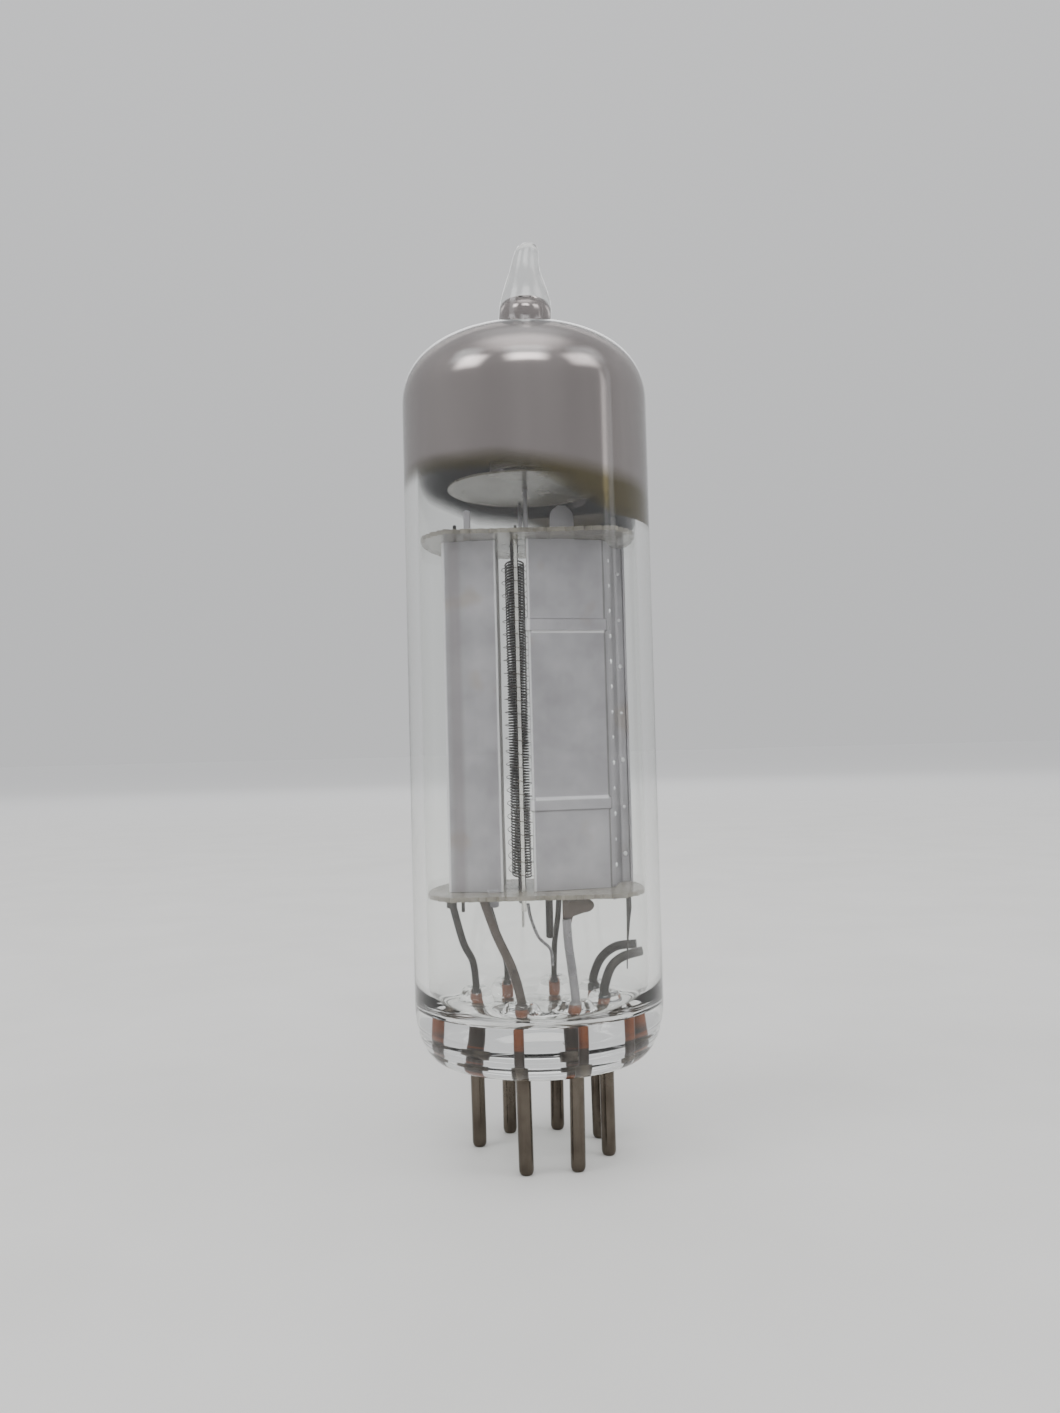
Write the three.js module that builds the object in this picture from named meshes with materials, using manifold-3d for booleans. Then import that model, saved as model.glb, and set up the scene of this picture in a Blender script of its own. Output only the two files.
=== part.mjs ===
// A seven-pin miniature vacuum tube in its long glass bulb, one named solid for each piece.
// Millimetres. +Z runs along the tube from the pins to the exhaust tip, and the origin is the
// centre of the flat pad under the glass base. -Y is the side with the narrow anode slot.
import * as THREE from 'three';
import { mergeVertices } from 'three/addons/utils/BufferGeometryUtils.js';
import Module from 'manifold-3d';

const wasm = await Module();
wasm.setup();

// Driving dimensions: the seven-pin base, which is a standard one.
const PIN_CIRCLE_RADIUS = 9.525 / 2;
const PIN_RADIUS = 1.016 / 2;
const PIN_PITCH_ANGLE = Math.PI / 4;
const PIN_COUNT = 7;
const FIRST_PIN_ANGLE = THREE.MathUtils.degToRad(255.3);
const PIN_END_Z = -6.7;
const PIN_TOP_Z = 1.5;
const SEAL_WIRE_RADIUS = 0.3;
const SEAL_WIRE_TOP_Z = 4.1;
const THICKEST_LEAD_RADIUS = 0.33;

// Driving dimensions: the glass.
const BULB_RADIUS = 8.82;
const BULB_WALL = 0.95;
const SHOULDER_Z = 46.5;
const CROWN_Z = 52;
const DOME_POWER = 2.4;
const TIP_FOOT_RADIUS = 1.9;
const TIP_NECK_Z = 53.1;
const TIP_TOP_Z = 58.8;
const TIP_LEAN = 0.6;
const BASE_RADIUS = 6.6;
const BASE_UNDERSIDE_Z = 0.15;
const BASE_TOP_Z = 3.5;
const SEATING_PAD_RADIUS = 3.2;
const RIM_Z = 4;
const FILLET_TOP_Z = 5.4;
const COLLAR_TOP_Z = 4.8;
const FILM_EDGE_Z = 39.9;

// Driving dimensions: the electrode cage.
const MICA_THICKNESS = 0.3;
const MICA_RADIUS = 7.7;
const MICA_TOOTH_DEPTH = 0.35;
const MICA_TOOTH_COUNT = 30;
const MICA_FLAT_Y = 5.4;
const LOWER_MICA_Z = 11.65;
const UPPER_MICA_Z = 36.45;
const SHEET = 0.18;
const CAGE_BOTTOM_Z = LOWER_MICA_Z + MICA_THICKNESS + 0.03;
const CAGE_TOP_Z = UPPER_MICA_Z - 0.03;
const CAGE_AXIS_X = -1;
const BEAD_LEVELS = [17.9, 30.4];
const BEAD_HEIGHT = 1;
const BEAD_RISE = 0.2;
const SHIELD_Z = 40.5;
const SHIELD_RADIUS = 5.7;
const SHIELD_THICKNESS = 0.15;

// Clearances.
const FIT_GAP = 0.04;
const HOLE_GAP = 0.06;
const LEAD_GAP = 0.09;
const BUTT_GAP = 0.03;

const GLASS = { color: 0xdfe6e2, roughness: 0.05, metalness: 0 };
const NICKEL = { color: 0xa9acae, roughness: 0.38, metalness: 0.9 };
const TARNISHED_NICKEL = { color: 0x6d645c, roughness: 0.5, metalness: 0.8 };
const DARK_WIRE = { color: 0x3c3836, roughness: 0.55, metalness: 0.7 };
const BRIGHT_WIRE = { color: 0xc9c9c2, roughness: 0.25, metalness: 1 };
const COPPER_RED = { color: 0x9c4a2c, roughness: 0.5, metalness: 0.5 };
const MICA = { color: 0xb6a98e, roughness: 0.3, metalness: 0 };
const GETTER_MIRROR = { color: 0x5b544c, roughness: 0.12, metalness: 1 };
const OXIDE_WHITE = { color: 0xe4e1d8, roughness: 0.9, metalness: 0 };

const tube = new THREE.Group();

function addPiece(name, geometry, finish) {
  const mesh = new THREE.Mesh(geometry, new THREE.MeshStandardMaterial(finish));
  mesh.name = name;
  tube.add(mesh);
}

// ---- Solids and the shapes that they are made of -------------------------------------------

function solidOf(geometry) {
  const bare = geometry.clone();
  bare.deleteAttribute('normal');
  bare.deleteAttribute('uv');
  const merged = mergeVertices(bare, 1e-4);
  return new wasm.Manifold(new wasm.Mesh({
    numProp: 3,
    vertProperties: new Float32Array(merged.attributes.position.array),
    triVerts: new Uint32Array(merged.index.array),
  }));
}

function geometryOf(solid) {
  const mesh = solid.getMesh();
  const geometry = new THREE.BufferGeometry();
  geometry.setAttribute('position', new THREE.BufferAttribute(mesh.vertProperties, 3));
  geometry.setIndex(new THREE.BufferAttribute(mesh.triVerts, 1));
  geometry.computeVertexNormals();
  return geometry;
}

function joined(base, additions) {
  return geometryOf(additions.reduce((solid, piece) => solid.add(solidOf(piece)), solidOf(base)));
}

function cut(base, tools) {
  return geometryOf(tools.reduce((solid, tool) => solid.subtract(solidOf(tool)), solidOf(base)));
}

function turned(profile, segments) {
  const points = profile.map(([radius, z]) => new THREE.Vector2(radius, z));
  return new THREE.LatheGeometry(points, segments).rotateX(Math.PI / 2);
}

function rod(x, y, bottom, top, radius, sides = 10) {
  const geometry = new THREE.CylinderGeometry(radius, radius, top - bottom, sides);
  return geometry.rotateX(Math.PI / 2).translate(x, y, (bottom + top) / 2);
}

function upright(shape, bottom, top) {
  const geometry = new THREE.ExtrudeGeometry(shape, { depth: top - bottom, bevelEnabled: false });
  return geometry.translate(0, 0, bottom);
}

function ellipse(x, y, halfWidth, halfDepth, turn = 0) {
  const curve = new THREE.EllipseCurve(x, y, halfWidth, halfDepth, 0, Math.PI * 2, false, turn);
  return new THREE.Shape(curve.getPoints(24).slice(0, 24));
}

function wireAlong(curve, radius, steps, sides = 8) {
  const section = new THREE.Shape();
  for (let side = 0; side < sides; side += 1) {
    const angle = (side / sides) * Math.PI * 2;
    const point = [radius * Math.cos(angle), radius * Math.sin(angle)];
    if (side === 0) section.moveTo(...point);
    else section.lineTo(...point);
  }
  section.closePath();
  return new THREE.ExtrudeGeometry(section, { steps, bevelEnabled: false, extrudePath: curve });
}

function bentWire(points, radius, steps = 14) {
  const curve = new THREE.CatmullRomCurve3(points.map((point) => new THREE.Vector3(...point)));
  return wireAlong(curve, radius, steps);
}

// The plan of a bent sheet: the corners of one face, and the other face a thickness to its left
// (to its right if the thickness is negative), with mitred corners.
function sheetPlan(corners, thickness) {
  const face = corners.map(([x, y]) => new THREE.Vector2(x, y));
  const offset = face.map((corner, index) => {
    const before = face[Math.max(index - 1, 0)];
    const after = face[Math.min(index + 1, face.length - 1)];
    const along = index === 0 ? after.clone().sub(corner) : corner.clone().sub(before);
    const next = index === face.length - 1 ? along : after.clone().sub(corner);
    const normalIn = new THREE.Vector2(-along.y, along.x).normalize();
    const normalOut = new THREE.Vector2(-next.y, next.x).normalize();
    const mitre = normalIn.clone().add(normalOut).normalize();
    return corner.clone().addScaledVector(mitre, thickness / mitre.dot(normalIn));
  });
  return new THREE.Shape([...face, ...offset.reverse()]);
}

// A rectangle that lies along one stretch of a sheet, from one place on it to another.
function stretchPlan(from, to, thickness, margin = 0) {
  const start = new THREE.Vector2(...from);
  const end = new THREE.Vector2(...to);
  const along = end.clone().sub(start).normalize();
  const left = new THREE.Vector2(-along.y, along.x).multiplyScalar(Math.sign(thickness));
  start.addScaledVector(along, -margin).addScaledVector(left, -margin);
  end.addScaledVector(along, margin).addScaledVector(left, -margin);
  const depth = left.multiplyScalar(Math.abs(thickness) + 2 * margin);
  return new THREE.Shape([start, end, end.clone().add(depth), start.clone().add(depth)]);
}

// The point at a given x on the straight line between two corners.
function onLine([x0, y0], [x1, y1], x) {
  return [x, y0 + ((y1 - y0) * (x - x0)) / (x1 - x0)];
}

// ---- Glass ----------------------------------------------------------------------------------

// A quarter of the dome, from the shoulder up to where its opening is.
function domeArc(radius, height, openingRadius, count) {
  const last = Math.acos((openingRadius / radius) ** (DOME_POWER / 2));
  return Array.from({ length: count + 1 }, (_, step) => {
    const angle = (last * step) / count;
    return [
      radius * Math.cos(angle) ** (2 / DOME_POWER),
      SHOULDER_Z + height * Math.sin(angle) ** (2 / DOME_POWER),
    ];
  });
}

function rimArc(count) {
  const centre = BASE_RADIUS + 0.3;
  return Array.from({ length: count + 1 }, (_, step) => {
    const angle = (Math.PI / 2) * (step / count);
    const reach = BULB_RADIUS - centre;
    return [
      centre + reach * Math.sin(angle),
      RIM_Z - (RIM_Z - BASE_UNDERSIDE_Z) * Math.cos(angle),
    ];
  });
}

// The concave run of glass between the base's upper face and the bulb's bore.
function filletArc(startRadius, count) {
  return Array.from({ length: count + 1 }, (_, step) => {
    const angle = (Math.PI / 2) * (1 - step / count);
    const reach = BULB_RADIUS - BULB_WALL - startRadius;
    return [
      startRadius + reach * Math.sin(angle),
      FILLET_TOP_Z - (FILLET_TOP_Z - BASE_TOP_Z) * Math.cos(angle),
    ];
  });
}

const boreRadius = BULB_RADIUS - BULB_WALL;
const boreDomeHeight = CROWN_Z - SHOULDER_Z - BULB_WALL;
const tipOpening = TIP_FOOT_RADIUS + FIT_GAP;

function bulbGeometry() {
  const lip = BASE_RADIUS + FIT_GAP;
  const profile = [
    [lip, BASE_UNDERSIDE_Z],
    ...rimArc(4),
    ...domeArc(BULB_RADIUS, CROWN_Z - SHOULDER_Z, tipOpening, 7),
    ...domeArc(boreRadius, boreDomeHeight, tipOpening, 6).reverse(),
    ...filletArc(lip, 3),
  ];
  return turned([...profile, profile[0]], 44);
}

const pinPlaces = Array.from({ length: PIN_COUNT }, (_, index) => {
  const angle = FIRST_PIN_ANGLE + index * PIN_PITCH_ANGLE;
  return [PIN_CIRCLE_RADIUS * Math.cos(angle), PIN_CIRCLE_RADIUS * Math.sin(angle)];
});

function buttonGeometry() {
  const padEdge = SEATING_PAD_RADIUS;
  const disc = turned([
    [0, 0],
    [padEdge, 0],
    [padEdge + 0.1, BASE_UNDERSIDE_Z],
    [BASE_RADIUS, BASE_UNDERSIDE_Z],
    [BASE_RADIUS, BASE_TOP_Z],
    [0, BASE_TOP_Z],
  ], 40);
  const root = BASE_TOP_Z - 0.5;
  const collars = pinPlaces.map(([x, y]) => turned([
    [0, root],
    [1.35, root],
    [1.3, BASE_TOP_Z + 0.3],
    [1.1, COLLAR_TOP_Z - 0.2],
    [0.8, COLLAR_TOP_Z],
    [0, COLLAR_TOP_Z],
  ], 16).translate(x, y, 0));
  const pinHoles = pinPlaces.map(([x, y]) => rod(x, y, -1, PIN_TOP_Z + BUTT_GAP / 2, PIN_RADIUS + FIT_GAP, 12));
  const wireHoles = pinPlaces.map(([x, y]) => rod(x, y, 1, COLLAR_TOP_Z, SEAL_WIRE_RADIUS + FIT_GAP, 8));
  const leadHoles = pinPlaces.map(([x, y]) => (
    rod(x, y, SEAL_WIRE_TOP_Z - BUTT_GAP, COLLAR_TOP_Z + 1, THICKEST_LEAD_RADIUS + LEAD_GAP, 8)
  ));
  return cut(joined(disc, collars), [...pinHoles, ...wireHoles, ...leadHoles]);
}

// The drawn-off end of the exhaust tube: it necks in above its foot, and leans a little as it rises.
function tipGeometry() {
  const plugBottom = CROWN_Z - BULB_WALL;
  const geometry = turned([
    [0, TIP_NECK_Z + 1.4],
    [0.7, TIP_NECK_Z + 1.3],
    [1.15, TIP_NECK_Z + 0.8],
    [1.2, plugBottom],
    [TIP_FOOT_RADIUS, plugBottom],
    [TIP_FOOT_RADIUS, CROWN_Z - 0.1],
    [1.95, CROWN_Z + 0.5],
    [1.93, TIP_NECK_Z + 0.5],
    [1.78, TIP_NECK_Z + 1.6],
    [1.42, TIP_NECK_Z + 2.6],
    [1.1, TIP_NECK_Z + 3.5],
    [0.93, TIP_NECK_Z + 4.4],
    [0.7, TIP_NECK_Z + 5.3],
    [0.3, TIP_TOP_Z - 0.1],
    [0, TIP_TOP_Z],
  ], 18);
  const positions = geometry.attributes.position;
  for (let index = 0; index < positions.count; index += 1) {
    const rise = Math.max(positions.getZ(index) - CROWN_Z + 0.1, 0) / (TIP_TOP_Z - CROWN_Z);
    positions.setX(index, positions.getX(index) + TIP_LEAN * Math.min(rise, 1) ** 0.7);
  }
  return geometry;
}

// The getter's metal mirror, a film on the bore from below the shoulder to the foot of the tip.
function filmGeometry() {
  const outer = boreRadius - FIT_GAP;
  const inner = outer - 0.08;
  const profile = [
    [outer, FILM_EDGE_Z],
    ...domeArc(outer, boreDomeHeight - FIT_GAP, 1.2, 6),
    ...domeArc(inner, boreDomeHeight - FIT_GAP - 0.08, 1.2, 5).reverse(),
    [inner, FILM_EDGE_Z],
  ];
  return turned([...profile, profile[0]], 36);
}

addPiece('glass_bulb', bulbGeometry(), GLASS);
addPiece('glass_button', buttonGeometry(), GLASS);
addPiece('exhaust_tip', tipGeometry(), GLASS);
addPiece('getter_film', filmGeometry(), GETTER_MIRROR);

// ---- Pins and the wires sealed in the glass ------------------------------------------------------

function pinGeometry(x, y) {
  return turned([
    [0, PIN_END_Z],
    [PIN_RADIUS * 0.6, PIN_END_Z + 0.1],
    [PIN_RADIUS, PIN_END_Z + 0.5],
    [PIN_RADIUS, PIN_TOP_Z - BUTT_GAP],
    [0, PIN_TOP_Z - BUTT_GAP],
  ], 12).translate(x, y, 0);
}

pinPlaces.forEach(([x, y], index) => {
  addPiece(`pin_${index + 1}`, pinGeometry(x, y), TARNISHED_NICKEL);
  addPiece(`seal_wire_${index + 1}`, rod(x, y, PIN_TOP_Z, SEAL_WIRE_TOP_Z, SEAL_WIRE_RADIUS, 8), COPPER_RED);
});

// ---- Inner leads ---------------------------------------------------------------------------------

// Each lead stands on its seal wire and runs through these points to the underside of the cage.
const leadRoutes = [
  { radius: 0.31, finish: TARNISHED_NICKEL, points: [[-1.75, -4.3, 7], [-2.75, -3.75, 9.2], [-3.6, -3.3, 11.5]] },
  { radius: 0.3, finish: NICKEL, points: [[2.25, -3.95, 6.6], [2.05, -3.6, 8.5], [2, -3.5, 9.6]] },
  { radius: 0.33, finish: DARK_WIRE, points: [[5.15, -0.75, 6.25], [6.1, -0.35, 6.9], [7.6, -0.05, 7.2]] },
  { radius: 0.33, finish: DARK_WIRE, points: [[4.65, 2, 6.35], [5.75, 1.5, 7.3], [7.35, 0.95, 7.55]] },
  { radius: 0.22, finish: DARK_WIRE, points: [[1.3, 4.3, 7.2], [1.6, 3.7, 9.4], [1.75, 3.4, 11.5]] },
  { radius: 0.22, finish: DARK_WIRE, points: [[-2.45, 3.85, 6], [-3, 3.5, 8.1], [-3.95, 3.2, 11.5]] },
  { radius: 0.27, finish: DARK_WIRE, points: [[-4.75, 0.75, 6.6], [-5.3, -0.4, 8.2], [-5.92, -0.95, 10.4]] },
];

leadRoutes.forEach(({ radius, finish, points }, index) => {
  const [x, y] = pinPlaces[index];
  const foot = [[x, y, SEAL_WIRE_TOP_Z + BUTT_GAP], [x, y, SEAL_WIRE_TOP_Z + 0.9]];
  addPiece(`lead_${index + 1}`, bentWire([...foot, ...points], radius), finish);
});

const SLEEVE_BOTTOM_Z = 10.75;
addPiece('lead_7_sleeve', rod(-5.98, -1.05, SLEEVE_BOTTOM_Z, LOWER_MICA_Z - BUTT_GAP, 0.33, 12), DARK_WIRE);

// The flat tab that spreads the end of lead 2 under the wide anode.
function leadTabGeometry() {
  const outline = new THREE.Shape();
  outline.moveTo(1.75, 9.75);
  outline.lineTo(2.3, 9.75);
  outline.lineTo(2.5, 10.4);
  outline.lineTo(3.6, 10.55);
  outline.quadraticCurveTo(3.9, 11.1, 3.5, LOWER_MICA_Z - BUTT_GAP);
  outline.lineTo(1.75, LOWER_MICA_Z - BUTT_GAP);
  const geometry = new THREE.ExtrudeGeometry(outline, { depth: 0.12, bevelEnabled: false, curveSegments: 4 });
  return geometry.rotateX(Math.PI / 2).translate(0, -3.45, 0);
}

addPiece('lead_2_tab', leadTabGeometry(), NICKEL);

const RIBBON_THICKNESS = 0.1;
const RIBBON_Y = -0.8;

// The tapered ribbon that hangs from the cage and is welded across the ends of leads 3 and 4.
function sideRibbonGeometry() {
  const outline = new THREE.Shape();
  outline.moveTo(6.42, LOWER_MICA_Z - BUTT_GAP);
  outline.lineTo(6.36, 9.7);
  outline.lineTo(6.24, 6.1);
  outline.lineTo(6.36, 6.1);
  outline.lineTo(6.56, 9.7);
  outline.lineTo(6.64, LOWER_MICA_Z - BUTT_GAP);
  const geometry = new THREE.ExtrudeGeometry(outline, { depth: RIBBON_THICKNESS, bevelEnabled: false });
  return geometry.rotateX(Math.PI / 2).translate(0, RIBBON_Y, 0);
}

addPiece('side_ribbon', sideRibbonGeometry(), DARK_WIRE);

// ---- Anode: four bent sheets, two on each side of the slot ----------------------------------------

// Corners of the outer faces in plan, from the inner web to the outer seam.
const wideFront = [[0.3, -0.04], [0.05, -1.9], [-0.17, -3.1], [5.3, -1.68], [6.42, 1.75], [7.1, 1.75]];
const wideBack = [[0.3, 0.04], [0.05, 1.9], [-0.17, 3.1], [5.3, 3.1], [6.42, 2.14], [7.32, 2.14], [7.32, 1.45]];
const narrowFront = [[-2.62, -0.04], [-2.38, -1.9], [-2.18, -2.85], [-6.02, -2.25], [-6.02, -0.04]];
const narrowBack = narrowFront.map(([x, y]) => [x, -y]);

// Ears stick out of a sheet's edge through the mica. Each is a stretch of the sheet, in the order
// that its corners run, from one z to another.
function earPlans(sheet, stretches) {
  return stretches.map(({ corner, from, to, bottom, top }) => {
    const start = onLine(sheet.corners[corner], sheet.corners[corner + 1], from);
    const end = onLine(sheet.corners[corner], sheet.corners[corner + 1], to);
    return { start, end, bottom, top, thickness: sheet.thickness };
  });
}

const upperEar = CAGE_TOP_Z - 0.5;
const lowerEar = CAGE_BOTTOM_Z + 0.5;

const anodeSheets = [
  {
    name: 'anode_wide_front',
    corners: wideFront,
    thickness: SHEET,
    beaded: true,
    ears: [
      { corner: 2, from: 1.62, to: 3.24, bottom: upperEar, top: 38.8 },
      { corner: 3, from: 5.45, to: 5.8, bottom: upperEar, top: 37.45 },
      { corner: 3, from: 5.45, to: 5.8, bottom: 11, top: lowerEar },
    ],
  },
  {
    name: 'anode_wide_back',
    corners: wideBack,
    thickness: -SHEET,
    beaded: false,
    ears: [
      { corner: 4, from: 6.45, to: 6.8, bottom: upperEar, top: 38.8 },
      { corner: 4, from: 6.5, to: 6.75, bottom: 11.2, top: lowerEar },
      { corner: 2, from: 3.9, to: 4.5, bottom: 10.8, top: lowerEar },
    ],
  },
  {
    name: 'anode_narrow_front',
    corners: narrowFront,
    thickness: -SHEET,
    beaded: false,
    ears: [
      { corner: 2, from: -3.98, to: -4.4, bottom: upperEar, top: 38.6 },
      { corner: 2, from: -2.6, to: -3.2, bottom: 10.9, top: lowerEar },
    ],
  },
  {
    name: 'anode_narrow_back',
    corners: narrowBack,
    thickness: SHEET,
    beaded: false,
    ears: [
      { corner: 2, from: -3.5, to: -4.5, bottom: upperEar, top: 37.6 },
    ],
  },
];

// A raised bead goes round the sheet's outer face from corner to corner.
function beadGeometry(corners, thickness, level) {
  const run = corners.slice(2, 4);
  const past = [onLine(corners[1], corners[2], corners[2][0] + 0.05), ...run];
  past.push(onLine(corners[3], corners[4], corners[3][0] + 0.2));
  const plan = sheetPlan(past, -Math.sign(thickness) * BEAD_RISE);
  return upright(plan, level - BEAD_HEIGHT / 2, level + BEAD_HEIGHT / 2);
}

function anodeGeometry(sheet) {
  const body = upright(sheetPlan(sheet.corners, sheet.thickness), CAGE_BOTTOM_Z, CAGE_TOP_Z);
  const ears = earPlans(sheet, sheet.ears).map((ear) => upright(
    stretchPlan(ear.start, ear.end, ear.thickness),
    ear.bottom,
    ear.top,
  ));
  const beads = sheet.beaded
    ? BEAD_LEVELS.map((level) => beadGeometry(sheet.corners, sheet.thickness, level))
    : [];
  return joined(body, [...ears, ...beads]);
}

anodeSheets.forEach((sheet) => addPiece(sheet.name, anodeGeometry(sheet), NICKEL));

// ---- Grids and cathode --------------------------------------------------------------------------------

// Two side rods stand opposite each other across the axis, and the wire is wound round both.
const grids = [
  { name: 'control_grid', rodX: 0, rodY: -1.35, rodRadius: 0.1, halfWidth: 0.45, turns: 8, bottom: 11.2, top: 37.3 },
  { name: 'screen_grid', rodX: 0.15, rodY: -1.9, rodRadius: 0.11, halfWidth: 0.66, turns: 6, bottom: 11, top: 37.6 },
  { name: 'suppressor_grid', rodX: 0.14, rodY: -2.45, rodRadius: 0.17, halfWidth: 0.95, turns: 4, bottom: 10.55, top: 37.2 },
];
const GRID_WIRE_RADIUS = 0.05;
const GRID_WIRE_GAP = 0.12;
const WINDING_BOTTOM_Z = 12.8;
const WINDING_HEIGHT = 22.6;

class GridWinding extends THREE.Curve {
  constructor(grid) {
    super();
    this.grid = grid;
    this.turn = Math.atan2(grid.rodX, -grid.rodY);
    this.halfDepth = Math.hypot(grid.rodX, grid.rodY) + grid.rodRadius + GRID_WIRE_RADIUS + GRID_WIRE_GAP;
  }

  getPoint(t, target = new THREE.Vector3()) {
    const angle = t * this.grid.turns * Math.PI * 2;
    const z = WINDING_BOTTOM_Z + WINDING_HEIGHT * t;
    target.set(this.grid.halfWidth * Math.cos(angle), this.halfDepth * Math.sin(angle), z);
    target.applyAxisAngle(new THREE.Vector3(0, 0, 1), this.turn);
    target.x += CAGE_AXIS_X;
    return target;
  }
}

grids.forEach((grid) => {
  const { rodX, rodY, rodRadius, bottom, top } = grid;
  const winding = wireAlong(new GridWinding(grid), GRID_WIRE_RADIUS, grid.turns * 16, 3);
  addPiece(`${grid.name}_rod_front`, rod(CAGE_AXIS_X + rodX, rodY, bottom, top, rodRadius), BRIGHT_WIRE);
  addPiece(`${grid.name}_rod_back`, rod(CAGE_AXIS_X - rodX, -rodY, bottom, top, rodRadius), BRIGHT_WIRE);
  addPiece(`${grid.name}_winding`, winding, BRIGHT_WIRE);
});

const CATHODE_HALF_WIDTH = 0.28;
const CATHODE_HALF_DEPTH = 0.85;
const CATHODE_WALL = 0.06;
const CATHODE_BOTTOM_Z = 10.9;
const CATHODE_TOP_Z = 37.5;
const COATING = 0.05;
const COATING_BOTTOM_Z = 13.5;
const COATING_TOP_Z = 35;

function ovalTube(halfWidth, halfDepth, wall, bottom, top) {
  const plan = ellipse(CAGE_AXIS_X, 0, halfWidth, halfDepth);
  plan.holes.push(ellipse(CAGE_AXIS_X, 0, halfWidth - wall, halfDepth - wall));
  return upright(plan, bottom, top);
}

addPiece('cathode_sleeve', ovalTube(
  CATHODE_HALF_WIDTH,
  CATHODE_HALF_DEPTH,
  CATHODE_WALL,
  CATHODE_BOTTOM_Z,
  CATHODE_TOP_Z,
), NICKEL);
addPiece('cathode_coating', ovalTube(
  CATHODE_HALF_WIDTH + BUTT_GAP + COATING,
  CATHODE_HALF_DEPTH + BUTT_GAP + COATING,
  COATING,
  COATING_BOTTOM_Z,
  COATING_TOP_Z,
), OXIDE_WHITE);

// The cathode's strap runs from the sleeve's lower end back to the foot of lead 5.
const cathodeStrap = [[-0.62, 0.35, 10.7], [-0.45, 0.9, 9.6], [0.1, 2.2, 8], [0.95, 3.4, 6.9], [1.08, 4, 5.6]];
addPiece('cathode_strap', bentWire(cathodeStrap, 0.12), NICKEL);

// The heater is one insulated wire, folded into four runs inside the sleeve.
function heaterGeometry() {
  const wire = 0.09;
  const bendRadius = 0.2;
  const foldTop = 36.9;
  const foldBottom = 11.6;
  const legBottom = 9.2;
  const runs = [-3, -1, 1, 3].map((place) => place * bendRadius);
  const straight = runs.map((y, index) => {
    const isLeg = index === 0 || index === runs.length - 1;
    return rod(CAGE_AXIS_X, y, isLeg ? legBottom : foldBottom, foldTop, wire, 8);
  });
  const bends = runs.slice(1).map((y, index) => {
    const up = index % 2 === 0;
    const centre = new THREE.Vector3(CAGE_AXIS_X, y - bendRadius, up ? foldTop : foldBottom);
    const arc = new THREE.CatmullRomCurve3([0, 1, 2, 3, 4, 5, 6].map((step) => {
      const angle = (Math.PI * step) / 6;
      const lift = (up ? 1 : -1) * bendRadius * Math.sin(angle);
      return centre.clone().add(new THREE.Vector3(0, -bendRadius * Math.cos(angle), lift));
    }));
    return wireAlong(arc, wire, 6);
  });
  return joined(straight[0], [...straight.slice(1), ...bends]);
}

addPiece('heater', heaterGeometry(), OXIDE_WHITE);

// ---- Frame rods and what stands on the upper mica ----------------------------------------------------------

const frameRods = [
  { name: 'frame_rod_right', x: 0.9, y: 0.6, radius: 0.29, bottom: 8.2, top: 37.4 },
  { name: 'frame_rod_left', x: -5.35, y: 0.6, radius: 0.14, bottom: 10.2, top: 38.2 },
];
frameRods.forEach(({ name, x, y, radius, bottom, top }) => {
  addPiece(name, rod(x, y, bottom, top, radius), NICKEL);
});

const POST_HALF_WIDTH = 0.17;
const POST_HALF_THICKNESS = 0.06;
const POST_X = -0.1;
const POST_Y = -0.4;
const POST_TOP_Z = 42.2;

function postPlan(margin) {
  return stretchPlan(
    [POST_X - POST_HALF_WIDTH, POST_Y],
    [POST_X + POST_HALF_WIDTH, POST_Y],
    2 * POST_HALF_THICKNESS,
    margin,
  );
}

const upperMicaFace = UPPER_MICA_Z + MICA_THICKNESS;
addPiece('getter_post', upright(postPlan(0), upperMicaFace + BUTT_GAP, POST_TOP_Z), NICKEL);

function getterRingGeometry() {
  const ringRadius = 2.3;
  const wire = 0.3;
  const ring = new THREE.TorusGeometry(ringRadius, wire, 8, 28);
  return ring.translate(POST_X, POST_Y + ringRadius, POST_TOP_Z + wire + BUTT_GAP);
}

addPiece('getter_ring', getterRingGeometry(), NICKEL);

function shieldGeometry() {
  const disc = rod(0, 0, SHIELD_Z, SHIELD_Z + SHIELD_THICKNESS, SHIELD_RADIUS, 40);
  return cut(disc, [upright(postPlan(HOLE_GAP), SHIELD_Z - 1, SHIELD_Z + 1)]);
}

addPiece('shield_mica', shieldGeometry(), MICA);

// The cathode's connection, a narrow strip folded over above the upper mica.
const cathodeTab = [[-0.62, -1], [-0.62, -0.55], [-0.35, -0.55]];
addPiece('cathode_tab', upright(sheetPlan(cathodeTab, -0.08), upperMicaFace + BUTT_GAP, 39.5), BRIGHT_WIRE);

// ---- Micas -----------------------------------------------------------------------------------------------------

// A ragged disc with a straight side at the front and at the back.
function toothedDisc() {
  const points = Array.from({ length: MICA_TOOTH_COUNT * 2 }, (_, index) => {
    const angle = (index / MICA_TOOTH_COUNT) * Math.PI;
    const radius = index % 2 === 0 ? MICA_RADIUS : MICA_RADIUS - MICA_TOOTH_DEPTH;
    const y = THREE.MathUtils.clamp(radius * Math.sin(angle), -MICA_FLAT_Y, MICA_FLAT_Y);
    return new THREE.Vector2(radius * Math.cos(angle), y);
  });
  return new THREE.Shape(points);
}

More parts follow.
